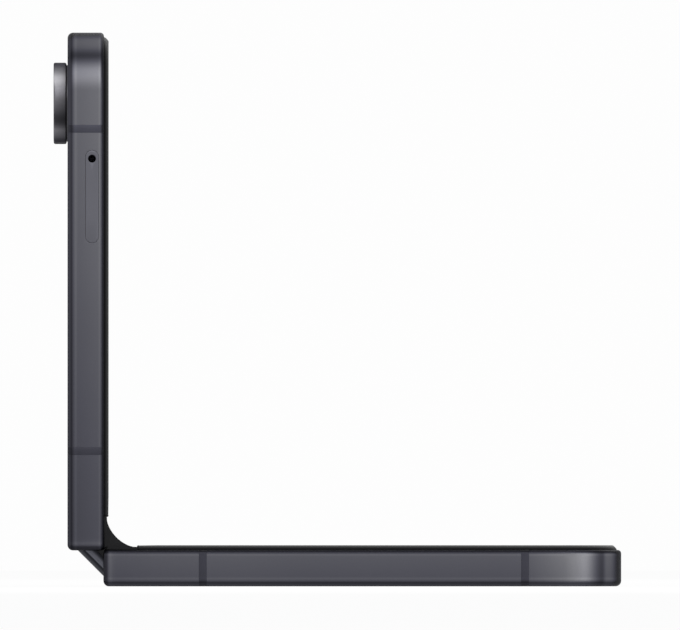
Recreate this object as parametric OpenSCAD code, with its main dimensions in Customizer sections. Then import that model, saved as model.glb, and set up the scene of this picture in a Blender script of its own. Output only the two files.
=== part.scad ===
/* [Body] */
// Length of each half, from its hinge end to its free end
half_l = 83.3; // [82:0.1:88]
// Width of the phone
body_w = 75; // [73:0.5:80]
// Thickness of the metal of each half
metal_t = 5.85; // [5.8:0.05:6.4]
// Radius of the corners at the free ends, seen from above
corner_r = 9.4; // [8:0.1:11]
// Rounding of the edges around the back
back_edge = 0.9; // [0.6:0.05:0.95]
// Rounding of the edges around the screen
front_edge = 0.45; // [0.2:0.05:0.6]
// Chamfer of the outer corners at the hinge end
hinge_edge = 0.7; // [0.4:0.05:0.8]
// Chamfer of the screen-side edge at the hinge end
inner_edge = 0.4; // [0.35:0.05:0.6]

/* [Walls] */
// Thickness of the side walls beside the spine
side_wall = 1.4; // [1.2:0.05:1.6]
// Thickness of the walls around the component room
room_wall = 2; // [1.9:0.05:2.3]
// Thickness of the plate between the components and the screen
mid_plate_t = 0.55; // [0.4:0.05:0.6]
// Thickness of the back glass
glass_t = 0.5; // [0.4:0.05:0.5]
// Width of the metal rim around the back glass
glass_inset = 1; // [1:0.05:1.5]
// Width of the antenna bands
band_w = 1.24; // [1:0.02:1.6]
// Distance of the outer antenna bands from the free end
band_free_s = 15.6; // [14:0.1:17]
// Distance of the inner antenna bands from the hinge end
band_hinge_s = 15.95; // [14.5:0.05:17]

/* [Screen] */
// Height of the bezel above the metal
bezel_h = 0.75; // [0.5:0.05:0.8]
// Width of the bezel
bezel_w = 2.4; // [2.1:0.05:3]
// Width of the metal rim outside the bezel
bezel_inset = 0.75; // [0.7:0.05:0.9]
// Rounding of the bezel's outer edge
bezel_edge = 0.5; // [0.3:0.05:0.6]
// Thickness of the folding screen
screen_t = 0.35; // [0.25:0.01:0.38]
// Thickness of the stiff plates under the screen
backplate_t = 0.35; // [0.25:0.05:0.35]
// Height of the web over the fold above the metal
web_h = 0.48; // [0.3:0.02:0.5]
// Reach of the web along each half
web_reach = 4.55; // [4:0.05:4.8]

/* [Hinge] */
// Distance of each pivot from the middle of the spine
pivot_u = 2.1; // [2:0.05:2.15]
// Half the gap between the metal ends when the phone lies flat
end_gap = 0.3; // [0.26:0.01:0.35]
// Outer radius of the spine cover around each pivot
spine_r = 3.5; // [3.4:0.05:3.6]
// Depth of the spine's flat outer face below the open screen
spine_depth = 4.6; // [4.45:0.05:4.6]
// Wall thickness of the spine cover
spine_wall = 0.5; // [0.4:0.05:0.5]
// Chamfer at the ends of the spine
spine_edge = 0.9; // [0.6:0.05:1]
// Distance of each hinge module from the middle of the phone
hinge_y = 24; // [22:0.5:25]
// Radius of the hinge shafts
shaft_r = 0.45; // [0.35:0.01:0.46]
// Radius of the knuckles and ears around the shafts
knuckle_r = 0.8; // [0.75:0.01:0.82]
// Length of the hinge arms beyond the pivots
arm_l = 10; // [9.6:0.1:10.4]
// Width of the hinge arms
arm_w = 4.6; // [4:0.1:4.8]
// Teeth of each gear
gear_teeth = 14; // [12:2:18]
// Width of the gears
gear_w = 1; // [0.8:0.05:1.1]
// Tilt of the wing plates at rest, in degrees
wing_tilt = 11.25; // [10:0.25:12]

/* [Cameras] */
// Diameter of the camera rings
ring_d = 13; // [12:0.1:13.4]
// How far the camera rings stand out of the back
ring_h = 2.32; // [1.6:0.02:2.6]
// Distance of the ring centres from the free end and from the side
ring_s = 10.7; // [10.5:0.1:11.5]
// Distance between the ring centres
ring_pitch = 15.5; // [14.5:0.1:16]
// Radius of the lens glass
lens_r = 4.9; // [4:0.1:5]

/* [Keys] */
// Length of the volume rocker
volume_l = 18; // [15:0.5:20]
// Length of the power key
power_l = 16; // [12:0.5:18]
// Width of the keys
key_w = 2; // [1.8:0.05:2.1]
// How far the keys stand out of the side
key_out = 0.35; // [0.25:0.05:0.5]
// Distance of the volume rocker's middle from the free end, as a share of the half's length
volume_share = 0.348; // [0.336:0.002:0.36]
// Distance of the power key's middle from the free end, as a share of the half's length
power_share = 0.612; // [0.6:0.002:0.624]

/* [Card tray] */
// Length of the card tray's head
tray_l = 14.9; // [14.6:0.1:15.5]
// Width of the card tray's head
tray_w = 2.15; // [2:0.05:2.2]
// Reach of the card tray into the phone
tray_reach = 20; // [17:0.5:21]
// Distance of the tray's middle from the free end
tray_s = 26.5; // [26:0.1:27.5]
// Depth of the tray's middle below the metal's screen side
tray_depth = 1.92; // [1.9:0.01:1.96]
// Radius of the eject hole
eject_r = 0.6; // [0.4:0.05:0.65]

/* [Port and sound] */
// Width of the charging socket's shell
port_w = 8.94; // [8.94:0.01:9]
// Height of the charging socket's shell
port_h = 3.16; // [3.1:0.01:3.2]
// Length of the charging socket's shell
port_l = 7.3; // [6.8:0.1:7.6]
// Radius of the sound holes
sound_r = 0.5; // [0.4:0.05:0.6]
// Distance between the speaker holes
sound_pitch = 2.2; // [2:0.1:2.4]
// Number of speaker holes
sound_n = 6; // [4:1:6]

/* [Inside] */
// Thickness of the battery cells
battery_t = 3.1; // [2.8:0.05:3.15]
// Length of the lower battery, as a share of the half's length
lower_battery_share = 0.576; // [0.48:0.002:0.588]
// Length of the upper battery, as a share of the half's length
upper_battery_share = 0.36; // [0.28:0.002:0.366]
// Width of the batteries
battery_w = 56; // [50:0.5:60]
// Thickness of the circuit boards
board_t = 0.55; // [0.4:0.05:0.6]
// Outer radius of the charging coil
coil_r = 20; // [18:0.5:22]

/* [Hidden] */

// Each half is drawn in its own frame: x runs from the hinge end to the free end,
// y across the phone and z from the back glass to the screen.
over = 1;                 // how far a cut runs past a face
seat = 0.05;              // gap between pieces that lie on each other
run = 0.03;               // running clearance of shafts and pins
tight = 0.01;             // clearance of shafts in what turns with them
slide = 0.12;             // clearance of keys and tray in their slots
closed_gap = 0.1;         // half the gap between the bezels when the phone is shut
rest_turn = 45;           // turn of each half against the spine: a right angle in all
round_fn = 48;
fine_fn = 24;
edge_step = 30;           // degrees between the points of a rounded edge

// Places along the thickness of a half
glass_pocket = glass_t + seat;
screen_z = metal_t - screen_t;
backplate_z = screen_z - seat - backplate_t;
mid_top = backplate_z - seat;
room_top = mid_top - mid_plate_t;
mid_z = metal_t / 2;

// Pivots: the bezels meet when each half has turned by a right angle
pivot_d = pivot_u - bezel_h - closed_gap;
pivot_x = pivot_u - end_gap;
pivot_z = metal_t - pivot_d;
spine_clear = 0.15;
cavity_r = spine_r + spine_clear;
fold_x = pivot_x + cavity_r - seat;
fold_u = fold_x + end_gap;

// Place of the spine and of the upper half
spine_x = -half_l / 2 + pivot_x - pivot_u * cos(rest_turn) + pivot_d * sin(rest_turn);
spine_z = pivot_z + pivot_u * sin(rest_turn) + pivot_d * cos(rest_turn);
upper_x = -half_l / 2 + pivot_x - 2 * pivot_u * cos(rest_turn) - pivot_z;
upper_z = pivot_z + 2 * pivot_u * sin(rest_turn) - pivot_x;

// Hinge cavity, rib and arms
half_w = body_w / 2;
cavity_w = half_w - side_wall;
spine_w = cavity_w - spine_clear;
rib_x = fold_x + 1.6;
rib_half = 7;
arm_t = 0.7;
arm_drop = 2.2;           // depth of the arm's underside below the screen-side plane
arm_z = metal_t - arm_drop;
arm_end = pivot_x + arm_l;
screw_x = [arm_end - 3.9, arm_end - 1.4];
screw_r = 0.45;
screw_grip = 1.5;         // length of an arm screw below the arm
head_r = 0.85;
head_t = 0.35;
rib_end = arm_end + 1;
module_ears = [-4.65, -2.75, 2.75, 5.05];
ear_t = 0.7;
shaft_head = 0.25;
gear_y = (module_ears[0] + module_ears[1]) / 2;
shaft_end = module_ears[3] + ear_t / 2 + seat;
washer_n = 5;
washer_t = 0.2;
washer_pitch = 0.27;
washer_y = module_ears[2] + ear_t / 2 + seat;

// Gears: two main gears on the shafts and two idlers between them, all alike
gear_pitch_r = pivot_u / 3;
gear_module = 2 * gear_pitch_r / gear_teeth;
tooth_root = 1.15;        // depth of the teeth inside the pitch circle, in modules
tooth_tip = 0.85;         // their height outside it
tooth_half = [0.29, 0.12]; // half widths at root and tip, in pitches
idler_pin_r = 0.22;

// Spine
cover_floor = spine_depth - spine_wall;
cover_top = pivot_d + spine_r * cos(70);
cap_t = 1.2;
cap_y = spine_w - cap_t;
cap_tongue = [1.3, 2.2];  // half width and depth of the tongue that fills the corner
base_t = 0.6;
ear_top = 0.6;            // height of an ear's middle above the pivots
bracket_screw_y = [-1.2, 1.2];
screw_tip = 0.15;         // metal left under the tips of the bracket screws
bar_w = 1.2;
bar_t = 0.2;
bar_end = 1;              // the bar's distance from the end caps
bar_waist = 0.15;         // half the bar's width left between the idlers

// Wing plates
wing_x = fold_x + 0.1;
wing_z = mid_top + 0.2;
wing_roll = 0.17;
wing_t = 0.25;
wing_l = 3.4;
wing_notch = 0.6;
wing_side = 0.3;          // how far the wing plates stay inside the screen's edges

// Screen
screen_inset = bezel_inset + bezel_w / 2;
screen_pocket = screen_inset - 0.35;
bezel_z = metal_t + tight;
bezel_foot = 0.1;
selfie_x = half_l - 6.2;
selfie_r = 1.8;
selfie_rim = 0.2;         // half the extra width of its housing
selfie_depth = [1.2, 2.6]; // how far its lens and its housing reach below the middle plate
cover_t = 0.4;
cover_inset = 4.4;
cover_gap = [1.5, 1];     // room left around the cameras and the flash
fold_n = 24;
fold_steps = [for (i = [-fold_n / 2 : fold_n / 2]) fold_u * (2 * i / fold_n)];
web_power = 1.67;         // 2 gives a round corner, less a flatter one
web_n = 12;
web_root = 0.4;           // how far the web reaches between the metal ends

// Flat cable between the halves
cable_y = [-4, 4];
cable_t = 0.15;
cable_z = 3.3;
cable_in = 2.6;
cable_bend = 0.4;         // distance of its bends from the fold's ends
cable_floor = 3.2;        // its depth below the open screen in the spine
cable_room = [0.25, 0.4]; // room below and above it in the frames

// Component room
floor_z = glass_pocket + 0.5;
battery_gap = 0.6;
battery_x = rib_end + battery_gap;
battery_z = floor_z + 0.2;
lower_battery_l = lower_battery_share * half_l;
upper_battery_l = upper_battery_share * half_l;
coil_t = 0.45;
coil_bore = 0.45;         // radius of the coil's hole as a share of the coil's radius
room_end = half_l - room_wall;
boss_r = 1.4;
boss_y = 22;
boss_in = 3;              // distance of the board screws from the board's edge
post_roof = 0.6;          // metal left above the screw holes in the posts
board_screw_l = 2.2;
board_gap = 1.2;          // gap between battery and board
board_side = 0.6;         // gap between board and side walls
lower_board_l = 6;
lower_board_x = battery_x + lower_battery_l + board_gap;
main_board_x = battery_x + upper_battery_l + board_gap;
boss_x = lower_board_x + boss_in;
upper_boss_x = main_board_x + boss_in;
port_z = 2.75;
port_back = half_l - 0.3 - port_l;
port_wall = 0.3;
port_floor = 0.9;         // thickness of the socket's back wall
tongue = [5.4, 6.6, 0.7]; // length, width and thickness of the socket's tongue
port_tab = 3;             // how far the board reaches under the socket
speaker_y = 11;
speaker_l = 5.4;
speaker_rim = 1.5;        // how far the loudspeaker reaches past its outer holes
speaker_z = 1.2;
motor = [5.5, 9, 2.8];
motor_y = -24;
magnet = [5, 2, 1.6];
magnet_x = battery_x + 1;
can_t = 1.1;
can_l = 13.5;
can_w = [16, 14];
can_y = [-14, 4];
can_gap = [1.5, 2.5];     // gaps of the cans to the board's edge and to tray and flash
board_arm = [4, 4.5, 5];  // gaps of the board's arm to side wall, free end and flash
earpiece_w = 9;
earpiece_l = 5;
earpiece_y = [-14, -3.2];
ear_duct = [3, 3.8];      // lowest and highest point of the earpiece's sound duct
ear_slot = 0.5;           // width of its opening beside the bezel

// Cameras
ring_x = half_l - ring_s;
ring_y = [half_w - ring_s, half_w - ring_s - ring_pitch];
ring_neck = 0.4;
ring_edge = 0.3;
neck_r = ring_d / 2 - ring_neck;
lens_seat = 0.45;
lens_t = 0.7;
lens_rim = 0.6;           // width of the ledge behind the lens glass
module_gap = 0.7;         // how much narrower the module's barrel is than the lens
flash_y = ring_y[1] - ring_d / 2 - 5.3;
flash_r = 2.2;

// Card tray and keys
tray_x = half_l - tray_s;
tray_z = metal_t - tray_depth;
tray_head = 1.2;
tray_plate = 0.8;
tray_side = [0.55, 2.25]; // how much narrower the plate is than the head
card = [12.3, 8.8];
card_end = 2;             // how far the card's pocket ends before the plate
reader_wall = [0.45, 0.5]; // side and floor of the card reader
reader_end = 1.2;
eject_x = tray_x + tray_l / 2 - 1.35;
volume_x = half_l * (1 - volume_share);
power_x = half_l * (1 - power_share);
key_in = half_w - room_wall;
flange_t = 0.3;
flange_lip = 0.45;
key_travel = 0.25;
key_recess = 0.35;        // depth of the recess behind the power key's flange
rocker_recess = 0.6;
pivot_ridge = 0.3;
switch_w = 2.2;
switch_t = 0.3;
switch_end = 1;
dome_r = 0.9;
dome_gap = 0.05;

// ---------------------------------------------------------------- helpers

module box(a, b) {
    translate(a) cube(b - a);
}

// A flat shape drawn in x and z, as thick as y0 to y1
module y_prism(y0, y1) {
    translate([0, y1, 0]) rotate([90, 0, 0]) linear_extrude(y1 - y0) children();
}

// A flat shape drawn in y and z, as long as x0 to x1
module x_prism(x0, x1) {
    translate([x0, 0, 0]) rotate([90, 0, 90]) linear_extrude(x1 - x0) children();
}

module y_rod(r, y0, y1) {
    translate([0, y0, 0]) rotate([-90, 0, 0]) cylinder(h = y1 - y0, r = r, $fn = fine_fn);
}

module both_sides() {
    children();
    mirror([0, 1, 0]) children();
}

module stadium(l, w) {
    square([l - w, w], center = true);
    for (side = [-1, 1]) translate([side * (l - w) / 2, 0]) circle(d = w, $fn = fine_fn);
}

// Places of the two halves and of the spine
module on_lower() {
    translate([-half_l / 2, 0, 0]) children();
}

module on_upper() {
    translate([upper_x, 0, upper_z]) mirror([1, 0, -1]) children();
}

module on_spine() {
    translate([spine_x, 0, spine_z]) rotate([0, rest_turn, 0]) children();
}

// Outline of a half seen from above, drawn in by inset, from near to the free end
module plan(inset, near) {
    r = corner_r - inset;
    w = half_w - inset;
    l = half_l - inset;
    translate([near, -w]) square([l - r - near, 2 * w]);
    translate([near, r - w]) square([l - near, 2 * (w - r)]);
    for (side = [-1, 1]) translate([l - r, side * (w - r)]) circle(r = r, $fn = round_fn);
}

// Side of a slab w from its middle, between z0 and z1, with rounded edges lo and hi
function edge_line(w, z0, z1, lo, hi) = concat(
    [for (a = [0 : edge_step : 90]) [w - lo + lo * sin(a), z0 + lo - lo * cos(a)]],
    [for (a = [0 : edge_step : 90]) [w - hi + hi * cos(a), z1 - hi + hi * sin(a)]]);

function mirrored(line) = [for (i = [len(line) - 1 : -1 : 0]) [-line[i][0], line[i][1]]];

// Solid of a half's outline with rounded edges
module slab(inset, near, z0, z1, lo, hi) {
    w = half_w - inset;
    l = half_l - inset;
    r = corner_r - inset;
    side = edge_line(w, z0, z1, lo, hi);
    x_prism(near, l - r) polygon(concat(side, mirrored(side)));
    y_prism(r - w, w - r)
        polygon(concat([[l - r, z0]], edge_line(l, z0, z1, lo, hi), [[l - r, z1]]));
    for (s = [-1, 1]) translate([l - r, s * (w - r), 0])
        rotate_extrude($fn = round_fn)
            polygon(concat([[0, z0]], edge_line(r, z0, z1, lo, hi), [[0, z1]]));
}

// ---------------------------------------------------------------- frames

module hinge_end_edges() {
    y_prism(-half_w - over, half_w + over) {
        corner_cut(hinge_edge);
        translate([0, metal_t]) mirror([0, 1]) corner_cut(inner_edge);
    }
    both_sides() translate([0, half_w, -over]) linear_extrude(metal_t + 2 * over)
        mirror([0, 1]) corner_cut(hinge_edge);
}

// What a chamfer of size c takes off a corner at the origin
module corner_cut(c) {
    polygon([[-over, -over], [c, -over], [c, 0], [0, c], [-over, c]]);
}

// Room at the hinge end in which the spine turns and the screen dips
module hinge_cavity() {
    y_prism(-cavity_w, cavity_w) {
        translate([pivot_x, pivot_z]) circle(r = cavity_r, $fn = round_fn);
        translate([-over, metal_t - spine_depth - spine_clear])
            square([pivot_x + over, spine_depth + spine_clear + over]);
        translate([-over, pivot_z]) square([fold_x + over, pivot_d + over]);
    }
}

// Component room, with ribs left for the hinge arms
module component_room() {
    bottom = glass_pocket - seat;
    translate([0, 0, bottom]) linear_extrude(room_top - bottom) difference() {
        plan(room_wall, rib_x);
        for (s = [-1, 1]) translate([rib_x - over, s * hinge_y - rib_half])
            square([rib_end - rib_x + over, 2 * rib_half]);
    }
}

module arm_seats() {
    w = arm_w / 2 + slide;
    both_sides() translate([0, hinge_y, 0]) {
        box([pivot_x, -w, arm_z - seat], [arm_end + slide, w, metal_t + over]);
        for (x = screw_x) translate([x, 0, arm_z - screw_grip - 2 * seat])
            cylinder(h = screw_grip + 2 * over, r = screw_r + tight, $fn = fine_fn);
    }
}

module band_boxes(grow) {
    depth = room_wall / 2;
    for (x = [band_hinge_s, half_l - band_free_s]) both_sides() translate([x, half_w, 0])
        box([-band_w / 2, -depth, -grow], [band_w / 2, grow, metal_t + grow]);
}

// Slot for the flat cable through the wall at the hinge end
module cable_slot() {
    box([pivot_x, cable_y[0] - slide, cable_z - cable_room[0]],
        [rib_x + over, cable_y[1] + slide, cable_z + cable_room[1]]);
}

module frame() {
    difference() {
        slab(0, 0, 0, metal_t, back_edge, front_edge);
        hinge_end_edges();
        translate([0, 0, -over]) linear_extrude(glass_pocket + over)
            plan(glass_inset - seat, glass_inset - seat);
        component_room();
        translate([0, 0, mid_top]) linear_extrude(metal_t) plan(screen_pocket, -over);
        hinge_cavity();
        arm_seats();
        band_boxes(over);
        cable_slot();
        children();
    }
}

// A post under the middle plate that a board is screwed to
module post(x, y) {
    difference() {
        translate([x, y, floor_z + board_t + seat])
            cylinder(h = room_top - floor_z - board_t, r = boss_r, $fn = fine_fn);
        translate([x, y, 0])
            cylinder(h = room_top - post_roof, r = screw_r + tight, $fn = fine_fn);
    }
}

module lower_frame() {
    color([0.31, 0.31, 0.35]) on_lower() {
        frame() {
            x_prism(room_end - over, half_l + over) translate([0, port_z])
                stadium(port_w + seat * 2, port_h + seat * 2);
            for (i = [0 : sound_n - 1]) sound_hole(speaker_y + i * sound_pitch);
            sound_hole(-speaker_y);
        }
        both_sides() post(boss_x, boss_y);
    }
}

module upper_frame() {
    color([0.31, 0.31, 0.35]) on_upper() {
        frame() {
            y_prism(-half_w - over, -key_in + over) translate([tray_x, tray_z])
                stadium(tray_l + slide * 2, tray_w + slide);
            key_slot(volume_x, volume_l, rocker_recess);
            key_slot(power_x, power_l, key_recess);
            translate([selfie_x, 0, room_top - over])
                cylinder(h = metal_t, r = selfie_r + slide, $fn = fine_fn);
            translate([half_l - bezel_inset, 0, ear_duct[0]]) {
                box([bezel_inset - room_wall - over, -earpiece_w / 2, 0],
                    [0, earpiece_w / 2, ear_duct[1] - ear_duct[0]]);
                box([-ear_slot, -earpiece_w / 2, 0], [0, earpiece_w / 2, metal_t]);
            }
            sound_hole(-speaker_y);
        }
        both_sides() post(upper_boss_x, boss_y);
    }
}

module sound_hole(y) {
    x_prism(room_end - over, half_l + over) translate([y, port_z]) circle(r = sound_r, $fn = fine_fn);
}

module key_slot(x, l, recess) {
    y_prism(key_in - over, half_w + over) translate([x, mid_z])
        stadium(l + slide * 2, key_w + slide * 2);
    y_prism(key_in - over, key_in + recess) translate([x, mid_z])
        square([l + 2 * flange_lip + slide * 2, key_w + flange_lip + slide * 2], center = true);
}

module bands() {
    intersection() {
        slab(0, 0, 0, metal_t, back_edge, front_edge);
        band_boxes(over);
    }
}

module lower_antenna_bands() {
    color([0.27, 0.27, 0.3]) on_lower() bands();
}

module upper_antenna_bands() {
    color([0.27, 0.27, 0.3]) on_upper() bands();
}

// ---------------------------------------------------------------- glass, bezels and screens

module lower_back_glass() {
    color([0.16, 0.16, 0.19]) on_lower() linear_extrude(glass_t) plan(glass_inset, glass_inset);
}

module upper_back_glass() {
    color([0.12, 0.12, 0.14]) on_upper() difference() {
        linear_extrude(glass_t) plan(glass_inset, glass_inset);
        for (y = ring_y) glass_hole(y, neck_r + seat);
        glass_hole(flash_y, flash_r + seat);
    }
}

module glass_hole(y, r) {
    translate([ring_x, y, -over]) cylinder(h = glass_t + 2 * over, r = r, $fn = round_fn);
}

module bezel() {
    difference() {
        slab(bezel_inset, fold_x, bezel_z, metal_t + bezel_h, bezel_foot, bezel_edge);
        translate([0, 0, bezel_z - over]) linear_extrude(bezel_h + 2 * over)
            plan(bezel_inset + bezel_w, fold_x - over);
        children();
    }
}

module lower_bezel() {
    color([0.13, 0.13, 0.14]) on_lower() bezel();
}

module upper_bezel() {
    color([0.13, 0.13, 0.14]) on_upper() bezel()
        box([half_l - bezel_inset - ear_slot, -earpiece_w / 2, 0],
            [half_l, earpiece_w / 2, metal_t + bezel_h + over]);
}

module screen() {
    difference() {
        translate([0, 0, screen_z]) linear_extrude(screen_t) plan(screen_inset, fold_x);
        children();
    }
}

module display_lower() {
    color([0.04, 0.04, 0.05]) on_lower() screen();
}

module display_upper() {
    color([0.04, 0.04, 0.05]) on_upper() screen() selfie_hole();
}

module selfie_hole() {
    translate([selfie_x, 0, mid_top - over])
        cylinder(h = metal_t, r = selfie_r + seat, $fn = fine_fn);
}

module backplate() {
    difference() {
        translate([0, 0, backplate_z]) linear_extrude(backplate_t)
            plan(screen_inset, wing_x + wing_roll + 2 * seat);
        children();
    }
}

module display_plate_lower() {
    color([0.5, 0.5, 0.52]) on_lower() backplate();
}

module display_plate_upper() {
    color([0.5, 0.5, 0.52]) on_upper() backplate() selfie_hole();
}

// Cover screen under the upper back glass, cut out around the cameras
module cover_display() {
    color([0.03, 0.03, 0.04]) on_upper() translate([0, 0, glass_pocket]) linear_extrude(cover_t)
        difference() {
            plan(cover_inset, battery_x);
            translate([ring_x - ring_d / 2 - cover_gap[0], flash_y - flash_r - cover_gap[1]])
                square([half_l, body_w]);
            for (s = [-1, 1]) translate([upper_boss_x, s * boss_y])
                circle(r = head_r + seat, $fn = fine_fn);
        }
}

// ---------------------------------------------------------------- folding stretch of the screen

// Share of the spine's turn that the screen takes, by distance from its middle
function fold_share(u) = let (f = 1 - abs(u) / fold_u) f * f * (3 - 2 * f);

// Point of the folded screen in the spine's frame, d below its surface
function fold_point(u, d) =
    let (turn = rest_turn * (1 - fold_share(u)), a = abs(u) - pivot_u, h = pivot_d - d)
    [(u < 0 ? -1 : 1) * (pivot_u + a * cos(turn) - h * sin(turn)),
     -pivot_d + a * sin(turn) + h * cos(turn)];

module display_fold() {
    back = [for (i = [fold_n : -1 : 0]) fold_steps[i]];
    color([0.04, 0.04, 0.05]) on_spine() y_prism(screen_inset - half_w, half_w - screen_inset)
        polygon(concat(
            [for (u = fold_steps) fold_point(u, 0)],
            [for (u = back) fold_point(u, screen_t)]));
}

// Elastic web in the inner corner beside the screen's folding stretch
module fold_web() {
    corner = [-half_l / 2, metal_t];
    up = [upper_x + metal_t, upper_z];
    ends = [corner[0] + fold_x - seat, up[1] + fold_x - seat];
    color([0.1, 0.1, 0.1]) both_sides()
        y_prism(half_w - screen_inset + seat, half_w - bezel_inset) polygon(concat(
            [[ends[0], corner[1] + seat], [ends[0], corner[1] + web_h]],
            [for (i = [0 : web_n]) let (a = 90 * i / web_n) [
                up[0] + web_h + web_reach * (1 - pow(sin(a), 2 / web_power)),
                corner[1] + web_h + web_reach * (1 - pow(cos(a), 2 / web_power))]],
            [[up[0] + web_h, ends[1]], [up[0] + seat, ends[1]],
             [up[0] + seat, up[1] + inner_edge + seat],
             [up[0] - web_root, corner[1] - web_root],
             [corner[0] + inner_edge + seat, corner[1] + seat]]));
}

// ---------------------------------------------------------------- hinge

module at_pivot() {
    translate([pivot_x, 0, pivot_z]) children();
}

module arms() {
    both_sides() translate([0, hinge_y, 0]) difference() {
        union() {
            at_pivot() y_rod(knuckle_r, -arm_w / 2, arm_w / 2);
            box([pivot_x, -arm_w / 2, arm_z], [arm_end, arm_w / 2, arm_z + arm_t]);
        }
        at_pivot() y_rod(shaft_r + tight, -arm_w, arm_w);
        for (x = screw_x) translate([x, 0, 0])
            cylinder(h = metal_t, r = screw_r + tight, $fn = fine_fn);
    }
}

module shafts() {
    both_sides() translate([0, hinge_y, 0]) at_pivot() {
        y_rod(shaft_r, module_ears[0] - ear_t / 2 - 2 * seat, shaft_end);
        y_rod(knuckle_r - seat, shaft_end, shaft_end + shaft_head);
    }
}

// Outline of a gear: root and tip corners of each tooth, turned by a share of a tooth
function gear_points(phase) =
    let (root = gear_pitch_r - tooth_root * gear_module, tip = gear_pitch_r + tooth_tip * gear_module)
    [for (i = [0 : gear_teeth - 1],
          c = [[root, -tooth_half[0]], [tip, -tooth_half[1]], [tip, tooth_half[1]], [root, tooth_half[0]]])
        let (a = (i + phase + c[1]) * 360 / gear_teeth) c[0] * [cos(a), sin(a)]];

// Gear around the y axis, with its teeth shifted by a share of a tooth
module gear(phase, bore) {
    difference() {
        y_prism(gear_y - gear_w / 2, gear_y + gear_w / 2) polygon(gear_points(phase));
        y_rod(bore, gear_y - gear_w, gear_y + gear_w);
    }
}

module hinge_arms_lower() {
    color([0.62, 0.62, 0.64]) on_lower() arms();
}

module hinge_arms_upper() {
    color([0.62, 0.62, 0.64]) on_upper() arms();
}

module hinge_shafts_lower() {
    color([0.75, 0.75, 0.77]) on_lower() shafts();
}

module hinge_shafts_upper() {
    color([0.75, 0.75, 0.77]) on_upper() shafts();
}

// One gear of each module, at u along the spine
module gears(u, phase, bore) {
    on_spine() both_sides() translate([u, hinge_y, -pivot_d]) gear(phase, bore);
}

module main_gears_lower() {
    color([0.8, 0.7, 0.4]) gears(pivot_u, 0, shaft_r + tight);
}

module idler_gears_lower() {
    color([0.8, 0.7, 0.4]) gears(pivot_u / 3, 0.5, idler_pin_r + run);
}

module idler_gears_upper() {
    color([0.8, 0.7, 0.4]) gears(-pivot_u / 3, 0, idler_pin_r + run);
}

module main_gears_upper() {
    color([0.8, 0.7, 0.4]) gears(-pivot_u, 0.5, shaft_r + tight);
}

module idler_pins() {
    color([0.75, 0.75, 0.77]) on_spine() both_sides() for (s = [-1, 1])
        translate([s * pivot_u / 3, hinge_y, -pivot_d])
            y_rod(idler_pin_r, module_ears[0] - ear_t / 2, module_ears[1] + ear_t / 2);
}

module friction_washers() {
    color([0.7, 0.7, 0.72]) on_spine() both_sides() for (s = [-1, 1], i = [0 : washer_n - 1])
        translate([s * pivot_u, hinge_y + washer_y + i * washer_pitch, -pivot_d]) difference() {
            y_rod(knuckle_r - seat, 0, washer_t);
            y_rod(shaft_r + run, -over, over);
        }
}

// Base and ears that carry the shafts and the idler pins
module hinge_brackets() {
    color([0.55, 0.55, 0.57]) on_spine() both_sides() translate([0, hinge_y, 0]) difference() {
        union() {
            box([-pivot_u - knuckle_r, module_ears[0] - ear_t / 2, seat - cover_floor],
                [pivot_u + knuckle_r, module_ears[3] + ear_t / 2, base_t - cover_floor]);
            for (e = module_ears) y_prism(e - ear_t / 2, e + ear_t / 2) {
                for (s = [-1, 1]) translate([s * pivot_u, -pivot_d]) circle(r = knuckle_r, $fn = fine_fn);
                translate([-pivot_u - knuckle_r, seat - cover_floor])
                    square([2 * (pivot_u + knuckle_r), cover_floor - seat - pivot_d]);
                translate([-pivot_u, -pivot_d - over]) square([2 * pivot_u, over + ear_top]);
            }
        }
        for (s = [-1, 1]) {
            translate([s * pivot_u, 0, -pivot_d]) y_rod(shaft_r + run, -arm_w * 2, arm_w * 2);
            translate([s * pivot_u / 3, 0, -pivot_d])
                y_rod(idler_pin_r + tight, module_ears[0] - over, module_ears[1] + over);
        }
        bracket_holes(0);
    }
}

// Holes for the screws from the brackets into the cover
module bracket_holes(tip) {
    for (y = bracket_screw_y) translate([0, y, tip - spine_depth])
        cylinder(h = spine_depth - pivot_d, r = screw_r + tight, $fn = fine_fn);
}

module bracket_screws() {
    color([0.65, 0.65, 0.67]) on_spine() both_sides() for (y = bracket_screw_y)
        translate([0, hinge_y + y, 0]) {
            translate([0, 0, base_t - cover_floor + seat]) cylinder(h = head_t, r = head_r, $fn = fine_fn);
            translate([0, 0, screw_tip - spine_depth])
                cylinder(h = spine_wall - screw_tip + base_t + 2 * seat, r = screw_r, $fn = fine_fn);
        }
}

// Cross-section of the spine, grown by g, between its flat face and a depth below the screen
module spine_shape(g, depth) {
    intersection() {
        union() {
            for (s = [-1, 1]) translate([s * pivot_u, -pivot_d]) circle(r = spine_r + g, $fn = round_fn);
            translate([-pivot_u, -pivot_d - spine_r - g]) square([2 * pivot_u, 2 * (spine_r + g)]);
        }
        translate([-spine_r - 2 * pivot_u, -spine_depth - g])
            square([2 * spine_r + 4 * pivot_u, spine_depth + g - depth]);
    }
}

module spine_cover() {
    color([0.3, 0.3, 0.34]) on_spine() difference() {
        y_prism(-cap_y, cap_y) spine_shape(0, cover_top);
        y_prism(-cap_y - over, cap_y + over) spine_shape(-spine_wall, -over);
        both_sides() translate([0, hinge_y, 0]) bracket_holes(screw_tip - seat);
    }
}

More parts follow.
